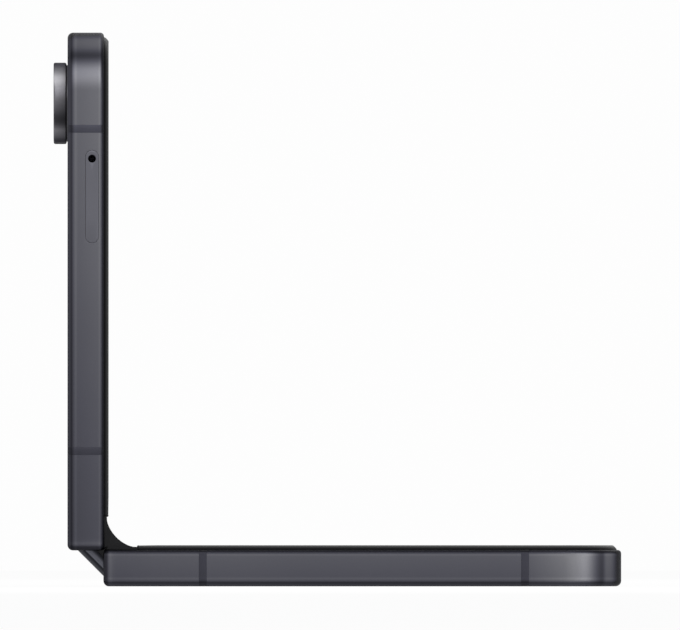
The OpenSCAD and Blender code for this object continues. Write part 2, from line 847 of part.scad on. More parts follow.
module spine_end_caps() {
    color([0.33, 0.33, 0.36]) on_spine() both_sides() difference() {
        union() {
            y_prism(cap_y + tight, spine_w) {
                spine_shape(0, cover_top);
                translate([-cap_tongue[0], -spine_depth + over])
                    square([2 * cap_tongue[0], spine_depth - over - cap_tongue[1]]);
            }
            y_prism(cap_y - cap_t, cap_y + cap_t / 2) spine_shape(-spine_wall - seat, cover_top);
        }
        translate([0, spine_w, -spine_depth]) x_prism(-2 * spine_r, 2 * spine_r)
            mirror([1, 0]) corner_cut(spine_edge);
    }
}

// Bar under the middle of the folding screen, lying on the brackets
module centre_bar() {
    z = ear_top - pivot_d + run;
    color([0.5, 0.5, 0.52]) on_spine() difference() {
        box([-bar_w / 2, bar_end - cap_y, z], [bar_w / 2, cap_y - bar_end, z + bar_t]);
        both_sides() for (s = [-1, 1]) translate([s * (bar_w / 2 + bar_waist), hinge_y + gear_y, z])
            cube([bar_w, gear_w + 4 * slide, 4 * bar_t], center = true);
    }
}

// Plate that carries the screen beside the fold, hinged on a rolled edge and cut out at the arms
module wing_plate() {
    w = half_w - screen_inset - wing_side;
    translate([wing_x, 0, wing_z]) rotate([0, -wing_tilt, 0]) difference() {
        union() {
            y_rod(wing_roll, -w, w);
            box([-wing_l, -w, -wing_t / 2], [0, w, wing_t / 2]);
        }
        both_sides()
            box([-wing_l - over, hinge_y - rib_half, -over], [-wing_notch, hinge_y + rib_half, over]);
    }
}

module lower_wing_plate() {
    color([0.6, 0.6, 0.62]) on_lower() wing_plate();
}

module upper_wing_plate() {
    color([0.6, 0.6, 0.62]) on_upper() wing_plate();
}

// Flat cable through the spine, from one half to the other
module fold_flex_cable() {
    under = cable_side(0);
    top = cable_side(cable_t);
    color([0.75, 0.45, 0.2]) on_spine() y_prism(cable_y[0], cable_y[1])
        polygon(concat(under, [for (i = [len(top) - 1 : -1 : 0]) top[i]]));
}

// One face of the cable, in the spine's frame: from half to half under the pivots
function half_point(s, x, z) =
    let (a = x - pivot_x, h = z - pivot_z, c = cos(rest_turn), n = sin(rest_turn))
    [s * (pivot_u + a * c - h * n), -pivot_d + a * n + h * c];
function cable_side(t) = [
    half_point(-1, rib_x + cable_in, cable_z + t), half_point(-1, fold_x - cable_bend, cable_z + t),
    [-pivot_u, t - cable_floor], [pivot_u, t - cable_floor],
    half_point(1, fold_x - cable_bend, cable_z + t), half_point(1, rib_x + cable_in, cable_z + t)];

// ---------------------------------------------------------------- fasteners and magnets

module half_screws(board_x) {
    both_sides() {
        for (x = screw_x) translate([x, hinge_y, arm_z]) {
            translate([0, 0, arm_t + run]) cylinder(h = head_t, r = head_r, $fn = fine_fn);
            translate([0, 0, -screw_grip])
                cylinder(h = screw_grip + arm_t + 2 * run, r = screw_r, $fn = fine_fn);
        }
        translate([board_x, boss_y, floor_z]) {
            translate([0, 0, -run - head_t]) cylinder(h = head_t, r = head_r, $fn = fine_fn);
            translate([0, 0, -2 * run]) cylinder(h = board_screw_l, r = screw_r, $fn = fine_fn);
        }
    }
}

module lower_screws() {
    color([0.65, 0.65, 0.67]) on_lower() half_screws(boss_x);
}

module upper_screws() {
    color([0.65, 0.65, 0.67]) on_upper() half_screws(upper_boss_x);
}

// A magnet along each side wall, where it meets the other half's when the phone is shut
module magnets() {
    y = half_w - room_wall - seat - magnet[1] / 2;
    both_sides() translate([magnet_x + magnet[0] / 2, y, mid_z]) cube(magnet, center = true);
}

// ---------------------------------------------------------------- inside the lower half

module battery(l) {
    translate([battery_x, -battery_w / 2, battery_z]) cube([l, battery_w, battery_t]);
}

module lower_battery() {
    color([0.12, 0.12, 0.13]) on_lower() battery(lower_battery_l);
}

// Wound flat coil and its shield, between the back glass and the battery
module charging_coil() {
    x = battery_x + lower_battery_l / 2;
    color([0.72, 0.42, 0.22]) on_lower() translate([x, 0, glass_pocket]) difference() {
        cylinder(h = coil_t, r = coil_r, $fn = round_fn);
        translate([0, 0, -over]) cylinder(h = 3 * over, r = coil_r * coil_bore, $fn = round_fn);
    }
}

module board_hole(x) {
    both_sides() translate([x, boss_y, 0]) cylinder(h = metal_t, r = screw_r + seat, $fn = fine_fn);
}

module lower_board() {
    w = half_w - room_wall - board_side;
    color([0.05, 0.25, 0.15]) on_lower() difference() {
        translate([0, 0, floor_z]) linear_extrude(board_t) {
            translate([lower_board_x, -w]) square([lower_board_l, 2 * w]);
            translate([lower_board_x, -port_w])
                square([port_back + port_tab - lower_board_x, port_w * 2]);
        }
        board_hole(boss_x);
        box([port_back - slide, -port_w / 2 - seat, 0], [half_l, port_w / 2 + seat, metal_t]);
    }
}

// Charging socket: a shell with a tongue inside
module usb_port() {
    wall = port_wall;
    color([0.6, 0.6, 0.62]) on_lower() translate([port_back, 0, port_z]) {
        difference() {
            x_prism(0, port_l) stadium(port_w, port_h);
            x_prism(port_floor, port_l + over) stadium(port_w - 2 * wall, port_h - 2 * wall);
        }
        translate([port_floor / 2 + tongue[0] / 2, 0, 0]) cube(tongue, center = true);
    }
}

module loudspeaker() {
    w = (sound_n - 1) * sound_pitch + 2 * speaker_rim;
    color([0.15, 0.15, 0.16]) on_lower()
        translate([room_end - slide - speaker_l, speaker_y - speaker_rim, speaker_z])
            cube([speaker_l, w, room_top - slide - speaker_z]);
}

module vibration_motor() {
    color([0.6, 0.58, 0.55]) on_lower()
        translate([room_end - over - motor[0], motor_y, floor_z]) cube(motor);
}

module lower_magnets() {
    color([0.68, 0.68, 0.7]) on_lower() magnets();
}

module upper_magnets() {
    color([0.68, 0.68, 0.7]) on_upper() magnets();
}

// ---------------------------------------------------------------- inside the upper half

module upper_battery() {
    color([0.12, 0.12, 0.13]) on_upper() battery(upper_battery_l);
}

module main_board() {
    w = half_w - room_wall - board_side;
    side = ring_x - ring_d / 2 - cover_gap[1] / 2;
    color([0.05, 0.25, 0.15]) on_upper() difference() {
        translate([0, 0, floor_z]) linear_extrude(board_t) translate([main_board_x, -w]) {
            square([side - main_board_x, 2 * w]);
            translate([0, board_arm[0]])
                square([room_end - board_arm[1] - main_board_x, w + flash_y - flash_r - board_arm[2]]);
        }
        board_hole(upper_boss_x);
    }
}

// Cans over the processor, the radio and the power circuits
module shield_cans() {
    z = floor_z + board_t + seat;
    side = half_w - room_wall - board_side - board_arm[0];
    near = tray_x + tray_l / 2 + can_gap[1];
    far = room_end - board_arm[1] - over;
    color([0.7, 0.7, 0.72]) on_upper() {
        for (i = [0, 1]) translate([main_board_x + can_gap[0], can_y[i], z])
            cube([can_l, can_w[i], can_t]);
        box([near, over - side, z], [far, flash_y - flash_r - can_gap[1], z + can_t]);
    }
}

// Camera ring with a neck through the glass and a seat for the lens glass
module camera_rings() {
    color([0.33, 0.33, 0.37]) on_upper() for (y = ring_y) translate([ring_x, y, -ring_h]) difference() {
        rotate_extrude($fn = round_fn) polygon(concat(
            [[0, 0]],
            [for (a = [0 : edge_step : 90]) ring_edge * [sin(a) - 1, 1 - cos(a)] + [ring_d / 2, 0]],
            [[ring_d / 2, ring_h - ring_neck - ring_edge], [ring_d / 2 - ring_edge, ring_h - ring_neck],
             [neck_r, ring_h - ring_neck], [neck_r, ring_h + glass_t], [0, ring_h + glass_t]]));
        translate([0, 0, -over])
            cylinder(h = over + lens_seat + lens_t, r = lens_r + seat, $fn = round_fn);
        translate([0, 0, -over]) cylinder(h = 3 * ring_h, r = lens_r - lens_rim, $fn = round_fn);
    }
}

module camera_lenses() {
    color([0.05, 0.06, 0.08]) on_upper() for (y = ring_y)
        translate([ring_x, y, lens_seat - ring_h]) cylinder(h = lens_t - seat, r = lens_r, $fn = round_fn);
}

module camera_modules() {
    front = lens_seat + lens_t + seat - ring_h;
    color([0.1, 0.1, 0.11]) on_upper() for (y = ring_y) translate([ring_x, y, 0]) {
        translate([0, 0, front]) cylinder(h = floor_z - front, r = lens_r - module_gap, $fn = round_fn);
        box([-lens_r, -lens_r, glass_pocket + cover_t - 2 * seat], [lens_r, lens_r, room_top - seat]);
    }
}

module flash_lens() {
    color([0.9, 0.88, 0.8]) on_upper() translate([ring_x, flash_y, 0])
        cylinder(h = floor_z - seat, r = flash_r, $fn = round_fn);
}

module selfie_camera() {
    w = selfie_r + selfie_rim;
    color([0.06, 0.06, 0.08]) on_upper() translate([selfie_x, 0, room_top]) {
        translate([0, 0, -selfie_depth[0]])
            cylinder(h = screen_z - room_top + selfie_depth[0], r = selfie_r, $fn = fine_fn);
        box([-w, -w, -selfie_depth[1]], [w, w, -seat]);
    }
}

module earpiece() {
    color([0.15, 0.15, 0.16]) on_upper()
        box([room_end - earpiece_l, earpiece_y[0], glass_pocket + cover_t + over],
            [room_end - seat, earpiece_y[1], room_top - seat]);
}

// Channel that guides the card tray
module card_reader() {
    lo = tray_x - tray_l / 2 + tray_side[0];
    hi = tray_x + tray_l / 2 - tray_side[1];
    under = tray_z - tray_plate / 2;
    color([0.65, 0.65, 0.67]) on_upper() translate([0, -half_w, 0]) difference() {
        box([lo - reader_wall[0], room_wall + 2 * seat, under - reader_wall[1]],
            [hi + reader_wall[0] + reader_end, tray_reach + reader_end, room_top - seat]);
        box([lo - slide, 0, under - slide], [hi + slide, tray_reach + slide, metal_t]);
    }
}

// Strip with a switch dome behind each press point of the keys
module key_switch_board() {
    y = key_in - 2 * (key_travel + switch_t);
    color([0.8, 0.5, 0.2]) on_upper() {
        box([power_x - power_l / 2 - switch_end, y, mid_z - switch_w / 2],
            [volume_x + volume_l / 2 + switch_end, y + switch_t, mid_z + switch_w / 2]);
        for (x = [power_x, volume_x - volume_l / 3, volume_x + volume_l / 3])
            translate([x, 0, mid_z]) y_rod(dome_r, y + switch_t - dome_gap, y + 2 * switch_t);
    }
}

// ---------------------------------------------------------------- keys and card tray

module key(x, l) {
    translate([x, 0, mid_z]) {
        y_prism(key_in + seat + flange_t / 2, half_w + key_out) stadium(l, key_w);
        y_prism(key_in + seat, key_in + seat + flange_t)
            square([l + 2 * flange_lip, key_w + flange_lip], center = true);
    }
}

module power_key() {
    color([0.29, 0.29, 0.33]) on_upper() key(power_x, power_l);
}

// Rocker on a round ridge across its middle
module volume_rocker() {
    color([0.29, 0.29, 0.33]) on_upper() {
        key(volume_x, volume_l);
        translate([volume_x, key_in + seat, mid_z - key_w / 2])
            cylinder(h = key_w, r = pivot_ridge, $fn = fine_fn);
    }
}

module card_tray() {
    lo = tray_x - tray_l / 2 + tray_side[0];
    hi = tray_x + tray_l / 2 - tray_side[1];
    color([0.29, 0.29, 0.33]) on_upper() translate([0, -half_w, tray_z]) difference() {
        union() {
            y_prism(0, tray_head) translate([tray_x, 0]) stadium(tray_l, tray_w);
            box([lo, tray_head, -tray_plate / 2], [hi, tray_reach, tray_plate / 2]);
        }
        translate([eject_x, 0, 0]) y_rod(eject_r, -over, tray_head + over);
        translate([(lo + hi - card[1]) / 2, tray_reach - card_end - card[0], -over])
            cube([card[1], card[0], 2 * over]);
    }
}

// ---------------------------------------------------------------- assembly

lower_frame();
lower_antenna_bands();
lower_back_glass();
lower_bezel();
display_lower();
display_plate_lower();
lower_battery();
lower_board();
usb_port();
loudspeaker();
vibration_motor();
charging_coil();
lower_magnets();
lower_screws();
hinge_arms_lower();
hinge_shafts_lower();
main_gears_lower();
lower_wing_plate();
spine_cover();
spine_end_caps();
hinge_brackets();
bracket_screws();
centre_bar();
friction_washers();
idler_pins();
idler_gears_lower();
idler_gears_upper();
display_fold();
fold_web();
fold_flex_cable();
upper_wing_plate();
main_gears_upper();
hinge_shafts_upper();
hinge_arms_upper();
upper_frame();
upper_antenna_bands();
upper_back_glass();
cover_display();
upper_bezel();
display_upper();
display_plate_upper();
upper_battery();
main_board();
shield_cans();
camera_rings();
camera_lenses();
camera_modules();
flash_lens();
selfie_camera();
earpiece();
card_reader();
key_switch_board();
upper_magnets();
upper_screws();
volume_rocker();
power_key();
card_tray();
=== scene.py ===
import bmesh
import bpy
import numpy as np
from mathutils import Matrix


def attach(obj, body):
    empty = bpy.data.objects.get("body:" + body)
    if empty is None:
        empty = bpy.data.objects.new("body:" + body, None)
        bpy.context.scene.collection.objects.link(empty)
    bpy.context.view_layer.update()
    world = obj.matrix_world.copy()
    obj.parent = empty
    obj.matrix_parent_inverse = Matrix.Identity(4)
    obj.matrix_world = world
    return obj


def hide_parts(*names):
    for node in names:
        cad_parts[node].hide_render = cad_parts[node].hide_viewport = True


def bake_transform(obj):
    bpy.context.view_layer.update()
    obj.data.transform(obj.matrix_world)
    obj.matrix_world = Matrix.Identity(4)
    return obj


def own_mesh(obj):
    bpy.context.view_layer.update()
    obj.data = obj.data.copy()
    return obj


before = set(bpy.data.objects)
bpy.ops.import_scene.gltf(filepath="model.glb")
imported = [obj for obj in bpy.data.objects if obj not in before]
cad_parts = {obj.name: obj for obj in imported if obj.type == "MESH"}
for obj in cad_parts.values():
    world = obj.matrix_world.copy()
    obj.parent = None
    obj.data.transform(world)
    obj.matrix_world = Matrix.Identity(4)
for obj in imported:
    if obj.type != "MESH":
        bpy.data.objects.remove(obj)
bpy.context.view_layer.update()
scene = bpy.context.scene

# ---------------------------------------------------------------- camera
# A very long lens square to the phone's long side, in line with the inner faces of both halves, so that
# neither inner screen shows, as in the photograph.
LENS, FILM = 1590.0, 36.0
PIXELS, PIXELS_PER_MM, MM = 680, 6.228, 0.001
SIDE_Y, EYE_X, EYE_Z, AIM_X, AIM_Z = -0.0375, -0.0410, 0.0066, -0.003665, 0.04357
reach = LENS / FILM * PIXELS / PIXELS_PER_MM * MM
camera_data = bpy.data.cameras.new("camera")
camera_data.lens, camera_data.sensor_width = LENS, FILM
camera_data.clip_start, camera_data.clip_end = 0.05, 30.0
camera = bpy.data.objects.new("camera", camera_data)
scene.collection.objects.link(camera)
camera.location = (EYE_X, SIDE_Y - reach, EYE_Z)
aim = np.array([AIM_X, SIDE_Y, AIM_Z]) - np.array(camera.location)
camera.rotation_euler = (
    np.pi / 2 + np.arctan2(aim[2], np.hypot(aim[0], aim[1])),
    0.0,
    -np.arctan2(aim[0], aim[1]),
)
scene.camera = camera
scene.view_settings.view_transform = "Standard"

# ---------------------------------------------------------------- studio
# White all round for the camera and for reflections, a soft grey fill for the rest, and three soft lamps: two in front,
# above and to the right, which draw highlights on the rounded corners over the bands of painted highlight and painted
# shade in the rims' colour, and one behind for the far side.
world = bpy.data.worlds.new("studio")
scene.world = world
world.use_nodes = True
sky = world.node_tree
sky.nodes.clear()
sky_out = sky.nodes.new("ShaderNodeOutputWorld")
sky_seen, sky_fill = sky.nodes.new("ShaderNodeBackground"), sky.nodes.new("ShaderNodeBackground")
sky_seen.inputs["Color"].default_value = (0.985, 0.985, 0.985, 1)
sky_seen.inputs["Strength"].default_value = 1.0
sky_fill.inputs["Color"].default_value = (0.97, 0.98, 1.0, 1)
sky_fill.inputs["Strength"].default_value = 0.62
sky_mix = sky.nodes.new("ShaderNodeMixShader")


def rays_that_see_the_backdrop(tree):
    """1 for camera, glossy and transmission rays, else 0: the largest of the three."""
    path = tree.nodes.new("ShaderNodeLightPath")
    either, any_of = tree.nodes.new("ShaderNodeMath"), tree.nodes.new("ShaderNodeMath")
    either.operation = any_of.operation = "MAXIMUM"
    tree.links.new(path.outputs["Is Camera Ray"], either.inputs[0])
    tree.links.new(path.outputs["Is Glossy Ray"], either.inputs[1])
    tree.links.new(either.outputs[0], any_of.inputs[0])
    tree.links.new(path.outputs["Is Transmission Ray"], any_of.inputs[1])
    return any_of.outputs[0]


sky.links.new(rays_that_see_the_backdrop(sky), sky_mix.inputs["Fac"])
sky.links.new(sky_fill.outputs[0], sky_mix.inputs[1])
sky.links.new(sky_seen.outputs[0], sky_mix.inputs[2])
sky.links.new(sky_mix.outputs[0], sky_out.inputs["Surface"])


def soft_lamp(name, place, target, size, watts):
    """A square area lamp at place, turned so that its -Z axis points at target."""
    data = bpy.data.lights.new(name, "AREA")
    data.shape, data.size, data.size_y, data.energy = "RECTANGLE", size[0], size[1], watts
    lamp = bpy.data.objects.new(name, data)
    scene.collection.objects.link(lamp)
    lamp.location = place
    away = np.array(place) - np.array(target)
    lamp.rotation_euler = (
        np.arctan2(np.hypot(away[0], away[1]), away[2]),
        0.0,
        np.arctan2(away[1], away[0]) + np.pi / 2,
    )
    lamp.visible_camera = False


soft_lamp("lamp_above", (-0.05, -0.53, 0.43), (-0.045, -0.03, 0.07), (0.5, 0.26), 1.5)
soft_lamp("lamp_right", (0.5, -0.52, 0.07), (0.03, -0.03, 0.01), (0.26, 0.4), 1.3)
soft_lamp("lamp_behind", (0.25, 0.7, 0.6), (0.0, 0.0, 0.03), (0.6, 0.5), 2.4)

FLOOR_Z = -0.00002
floor_mesh = bpy.data.meshes.new("studio_floor")
floor_mesh.from_pydata([(x, y, FLOOR_Z) for x, y in ((-3, -3), (3, -3), (3, 3), (-3, 3))], [], [(0, 1, 2, 3)])
floor = bpy.data.objects.new("studio_floor", floor_mesh)
scene.collection.objects.link(floor)
floor_paint = bpy.data.materials.new("studio_floor_white")
floor_paint.use_nodes = True
ground = floor_paint.node_tree
ground.nodes.clear()
ground_out, ground_mix = ground.nodes.new("ShaderNodeOutputMaterial"), ground.nodes.new("ShaderNodeMixShader")
ground_matt, ground_glow = ground.nodes.new("ShaderNodeBsdfDiffuse"), ground.nodes.new("ShaderNodeEmission")
ground_share = ground.nodes.new("ShaderNodeMath")
ground_share.operation = "MULTIPLY"
ground_share.inputs[1].default_value = 0.93
ground_matt.inputs["Color"].default_value = (0.93, 0.93, 0.93, 1)
ground_glow.inputs["Strength"].default_value = 1.0
ground_glow.inputs["Color"].default_value = (1.0, 1.0, 1.0, 1)
ground.links.new(rays_that_see_the_backdrop(ground), ground_share.inputs[0])
ground.links.new(ground_share.outputs[0], ground_mix.inputs["Fac"])
ground.links.new(ground_matt.outputs[0], ground_mix.inputs[1])
ground.links.new(ground_glow.outputs[0], ground_mix.inputs[2])
ground.links.new(ground_mix.outputs[0], ground_out.inputs["Surface"])
floor_mesh.materials.append(floor_paint)

# ---------------------------------------------------------------- frames
# The rim and middle plate of each half: one aluminium piece, milled from a block, bead blasted and dyed
# dark blue-grey. The edges are rolled over and the back edge is wider than the screen-side edge.
HALF_L, HALF_W, METAL_T, CORNER_R = 83.3, 37.5, 5.85, 9.4
BACK_EDGE, FRONT_EDGE, HINGE_CORNER = 0.9, 0.58, 1.0
SIDE_WALL, ROOM_WALL, POCKET = 1.4, 2.0, 1.6
CAVITY_Y, FOLD_X, RIB_X = 36.1, 5.45, 7.0
GLASS_LAND, GLASS_POCKET, ROOM_TOP, MID_TOP = 0.97, 0.55, 4.5, 5.05
# LIP_SHADE, SOFT_LIP_SHADE and BORE_SHADE are painted shade on the lip and in the bore of each hole.
PORT_T, LIP, LIP_SHADE, SOFT_LIP_SHADE, BORE_SHADE = 2.75, 0.07, 0.6, 0.9, 0.4
HINGE_X, BACK_X, FOOT_Z = -41.65, -47.4198, 5.7698
PIVOT_S, PIVOT_T, HOLLOW_R = 1.8, 4.6, 3.65
MERGE, DEGENERATE = 1.2e-6, 1e-7
# Depths in the rim's section that only mark the room's wall and the screen's pocket; half_frame puts in their own.
WALL_MARK, POCKET_MARK = 9.0, 8.0
BAND_PLACES = ((15.95, 0.62), (67.7, 0.62))


def stacked(*parts):
    """Arrays or numbers brought to one shape and set side by side as the last axis."""
    return np.stack(np.broadcast_arrays(*parts), -1)


def in_lower(p):
    """Row frame, in metres, of points (s, y, t) of the lower half: s from its hinge end, t up from its back."""
    return stacked(p[..., 0] + HINGE_X, p[..., 1], p[..., 2]) * MM


def in_upper(p):
    """Row frame, in metres, of points (s, y, t) of the upper half, which stands: s upwards, t to the front."""
    return stacked(p[..., 2] + BACK_X, p[..., 1], p[..., 0] + FOOT_Z) * MM


def grid(points, trim=0.0, wrap_rows=False, wrap_columns=False, keep=None):
    """One patch: points on a grid, a value of painted light (on some small parts, print) for each, and a mask of the
    faces that are kept.
    """
    return dict(p=np.asarray(points, float), trim=trim, wr=wrap_rows, wc=wrap_columns, keep=keep)


def closed(points, trim=0.0):
    """Shell of outlines carried along a way, with its first and last outline as flat ends."""
    return [grid(points, trim, wrap_columns=True), points[0], points[-1]]


def ruled(left, right, steps):
    """Straight lines from each point of left to its point of right, in equal steps."""
    share = np.linspace(0, 1, steps + 1)[None, :, None]
    return left[:, None] * (1 - share) + right[:, None] * share


def piece(name, shells, place, sharp, body=None, stands_for=(), material=None):
    """Mesh object of closed shells. Each shell is a list of grids and of flat outlines that close it; their seams are
    merged, the faces turned outwards, and the shading left sharp where faces meet at more than sharp degrees."""
    whole = bmesh.new()
    for shell in shells:
        points, faces, trims, first = [], [], [], 0
        for g in shell:
            if isinstance(g, dict):
                p = g["p"]
                rows, cols = p.shape[:2]
                i, j = np.meshgrid(
                    np.arange(rows if g["wr"] else rows - 1), np.arange(cols if g["wc"] else cols - 1), indexing="ij"
                )
                below, beside = (i + 1) % rows, (j + 1) % cols
                quads = stacked(i * cols + j, i * cols + beside, below * cols + beside, below * cols + j)
                quads = quads.reshape(-1, 4) if g["keep"] is None else quads[g["keep"]]
                faces += (quads + first).tolist()
                trims.append(np.broadcast_to(g["trim"], (rows, cols)).reshape(-1))
                p = p.reshape(-1, 3)
            else:
                p = np.asarray(g, float)
                faces.append(list(range(first, first + len(p))))
                trims.append(np.zeros(len(p)))
            points.append(p)
            first += len(p)
        part = bpy.data.meshes.new("part")
        part.from_pydata(place(np.concatenate(points)).tolist(), [], faces)
        # This attribute holds painted light for most pieces: below 0 painted shade, above 0 a painted highlight. On
        # some small parts, such as the lens panes and the charging tongue, it marks print and gilt instead.
        layer = part.attributes.new("trim", "FLOAT", "POINT")
        layer.data.foreach_set("value", np.concatenate(trims).astype(np.float32))
        shaped = bmesh.new()
        shaped.from_mesh(part)
        bmesh.ops.remove_doubles(shaped, verts=shaped.verts, dist=MERGE)
        bmesh.ops.dissolve_degenerate(shaped, edges=shaped.edges, dist=DEGENERATE)
        bmesh.ops.recalc_face_normals(shaped, faces=shaped.faces)
        shaped.to_mesh(part)
        shaped.free()
        whole.from_mesh(part)
        bpy.data.meshes.remove(part)
    mesh = bpy.data.meshes.new(name)
    whole.to_mesh(mesh)
    whole.free()
    mesh.shade_smooth()
    mesh.set_sharp_from_angle(angle=np.radians(sharp))
    made = bpy.data.objects.new(name, mesh)
    scene.collection.objects.link(made)
    if body:
        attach(made, body)
    if stands_for:
        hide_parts(*stands_for)
    if material:
        mesh.materials.append(material)
    return made


def stadium_edge(f, half_straight, r):
    """Upper part of a stadium, from 135 degrees on its left end to 45 degrees on its right end, at shares f of its
    length: a turn of 45 degrees, the straight stretch, and a turn of 45 degrees."""
    turn = r * np.pi / 4
    d = f * (2 * half_straight + 2 * turn)
    left, right = d < turn, d > turn + 2 * half_straight
    angle = np.where(left, 3 * np.pi / 4 - d / r,
                     np.where(right, np.pi / 2 - (d - turn - 2 * half_straight) / r, np.pi / 2))
    centre = np.where(left, -half_straight, np.where(right, half_straight, d - turn - half_straight))
    return centre + r * np.cos(angle), r * np.sin(angle)


def stadium_loop(across, up, half_straight, r):
    """Outline of a stadium with as many points as the rectangle of grid lines across x up, starting at its lower left,
    so that each point of the rectangle has its own point on the outline. across and up are shares from 0 to 1."""
    bx, by = stadium_edge(across[:-1], half_straight, r)
    tx, ty = stadium_edge(across[:0:-1], half_straight, r)
    side = np.radians(-45 + 90 * up[:-1])
    other = np.radians(-45 + 90 * up[:0:-1])
    x = np.concatenate([bx, half_straight + r * np.cos(side), tx, -half_straight - r * np.cos(other)])
    y = np.concatenate([-by, r * np.sin(side), ty, r * np.sin(other)])
    return np.stack([x, y], -1)


def rectangle_loop(xs, ys):
    """Points of the grid lines xs and ys round their rectangle, starting at its lower left."""
    return np.concatenate([
        stacked(xs[:-1], ys[0]), stacked(xs[-1], ys[:-1]), stacked(xs[:0:-1], ys[-1]), stacked(xs[0], ys[:0:-1]),
    ])


WALL_ROWS = np.array([0.95, 1.04, 1.14, 1.28, 1.42, 1.6, 2.1, 2.75, 3.4, 4.0, 4.6, 4.82, 4.93, 5.02, 5.1, 5.18, 5.24])
ROOM_ROWS = np.linspace(GLASS_POCKET, MID_TOP, len(WALL_ROWS))


def ramp(x, lo, hi):
    """Smooth step from 0 at lo to 1 at hi."""
    k = np.clip((np.asarray(x, float) - lo) / (hi - lo), 0, 1)
    return k * k * (3 - 2 * k)


def bell(x, middle, width):
    """Bell curve: 1 at the middle, and e to the power -1 at width from it."""
    return np.exp(-(((np.asarray(x, float) - middle) / width) ** 2))


# Lightnesses of the rim's face colour, of its line colour, a painted highlight, and of its edge colour, a painted
# shade.
FACE_LEVEL, LINE_LEVEL, EDGE_LEVEL = 0.0685, 0.181, 0.0103


def as_painted_light(level, face=FACE_LEVEL, line=LINE_LEVEL, edge=EDGE_LEVEL):
    """Value of the painted light attribute for a lightness: 0 for the face colour's, up to 1 for the line colour's, a
    painted highlight, down to -1 for the edge colour's, a painted shade."""
    level = np.asarray(level, float)
    return np.where(level > face, (level - face) / (line - face), (level - face) / (face - edge))


def painted_wall_shading(t):
    """Painted light and shade of the rim by height t: 1.12 plus 0.075 a millimetre, a thin painted highlight line
    inside each rolled edge, the back edge painted down to two thirds with a dark painted crease, and the screen-side
    edge painted down to a seventh."""
    # line is a painted highlight; back and front are painted shade on the rolled edges.
    line = 0.33 * bell(t, 1.33, 0.17) + 0.33 * bell(t, 5.13, 0.12)
    back = 0.64 + 0.36 * ramp(t, 0.75, 1.15) - 0.33 * bell(t, 0.63, 0.15)
    front = 1 - 0.865 * ramp(t, 5.2, 5.58)
    return (1.12 + 0.075 * (t - 1.6) + line) * back * front


def lower_corner_painted_reflection(turn):
    """Painted reflection round the lower half's free corners by the turn of the surface, 0 on the long side and 90
    degrees on the free end: painted bands as satin metal reflects them, dark at 41 degrees, darker again from 52 on,
    and plain on the end itself."""
    return (1 + 0.12 * bell(turn, 8, 6) - 0.76 * ramp(turn, 19, 42) + 0.4 * ramp(turn, 41, 48)
            - 0.55 * ramp(turn, 52, 70) + 0.43 * ramp(turn, 84, 90))


def upper_corner_painted_reflection(turn):
    """The same painted reflection for the upper half, which stands: its dark painted band lies at 36.5 degrees, the
    second dark from 57 on.
    """
    return (1 + 0.12 * bell(turn, 8, 6) - 0.73 * bell(turn, 36.5, 9.2) - 0.78 * ramp(turn, 57, 73)
            + 0.5 * ramp(turn, 84, 90))


def painted_hinge_shading(s):
    """Painted shade by the distance s from the hinge end: painted dark on the rounded corner, with a thin painted
    highlight line after it.
    """
    return 0.32 + 0.68 * ramp(s, 0.5, 0.92) + 0.3 * bell(s, 1.12, 0.35)


def rim_section(lift=0.0):
    """Closed section of the rim as (depth in from the outline, height, painted shade): pocket for the glass, rolled
    back edge, flat side, rolled screen-side edge, land under the bezel, step down to the middle plate, and the room's
    wall. lift moves the painted shades down the section by that much."""
    back = np.radians(np.linspace(0, 90, 13))
    front = np.radians(np.linspace(0, 90, 9))
    o = np.concatenate([[WALL_MARK, GLASS_LAND, GLASS_LAND], BACK_EDGE * (1 - np.sin(back)), 0 * WALL_ROWS,
                        FRONT_EDGE * (1 - np.cos(front)), [0.5, POCKET_MARK, POCKET_MARK, WALL_MARK],
                        WALL_MARK + 0 * ROOM_ROWS[-2:0:-1]])
    t = np.concatenate([[GLASS_POCKET, GLASS_POCKET, 0.0], BACK_EDGE * (1 - np.cos(back)), WALL_ROWS,
                        METAL_T - FRONT_EDGE * (1 - np.sin(front)), [METAL_T, METAL_T, MID_TOP, MID_TOP],
                        ROOM_ROWS[-2:0:-1]])
    flat_from = 3 + len(back)
    room_from = flat_from + len(WALL_ROWS) + len(front) + 3
    shade = painted_wall_shading(t + lift)
    shade[:3] = shade[room_from - 2:] = 1
    return o, t, shade, flat_from, room_from


def edge_stations(lo, hi, holes, bands, step=3.2):
    """Positions along a straight edge: rows of even steps, closer ones by the hinge end and where the room behind the
    hollow ends, the ends of each antenna band, and the columns of each hole's patch. Returns the positions, which of
    them lie in a band's groove, and each hole's first and last one."""
    fixed, spans = [], []

    def even(start, stop):
        return list(np.linspace(start, stop, max(2, int(np.ceil((stop - start) / step)) + 1))[1:])

    for c, half in bands:
        fixed.append((c - half - 0.02, c - half, c + half, c + half + 0.02))
    for c, half, _, _, margin, columns, *_ in holes:
        fixed.append(tuple(np.linspace(c - half - margin, c + half + margin, columns + 1)))
    if lo > 0:
        fixed += [(lo + 0.2, lo + 0.5, lo + 1.0, lo + 1.8), (FOLD_X, FOLD_X + 0.1)]
    fixed.sort()
    at, groove = [lo], []
    for run in fixed:
        if run[0] - at[-1] > 1e-6:
            at += even(at[-1], run[0])
        at += [x for x in run if x - at[-1] > 1e-6]
    at = np.array(at + even(at[-1], hi))
    for c, half in bands:
        groove.append(np.abs(at - c) < half + 0.005)
    for hole in holes:
        c, half, _, _, margin, columns = hole[:6]
        first = int(np.argmin(np.abs(at - (c - half - margin))))
        spans.append((first, first + columns, hole))
    return at, (np.any(groove, 0) if groove else np.zeros(len(at), bool)), spans


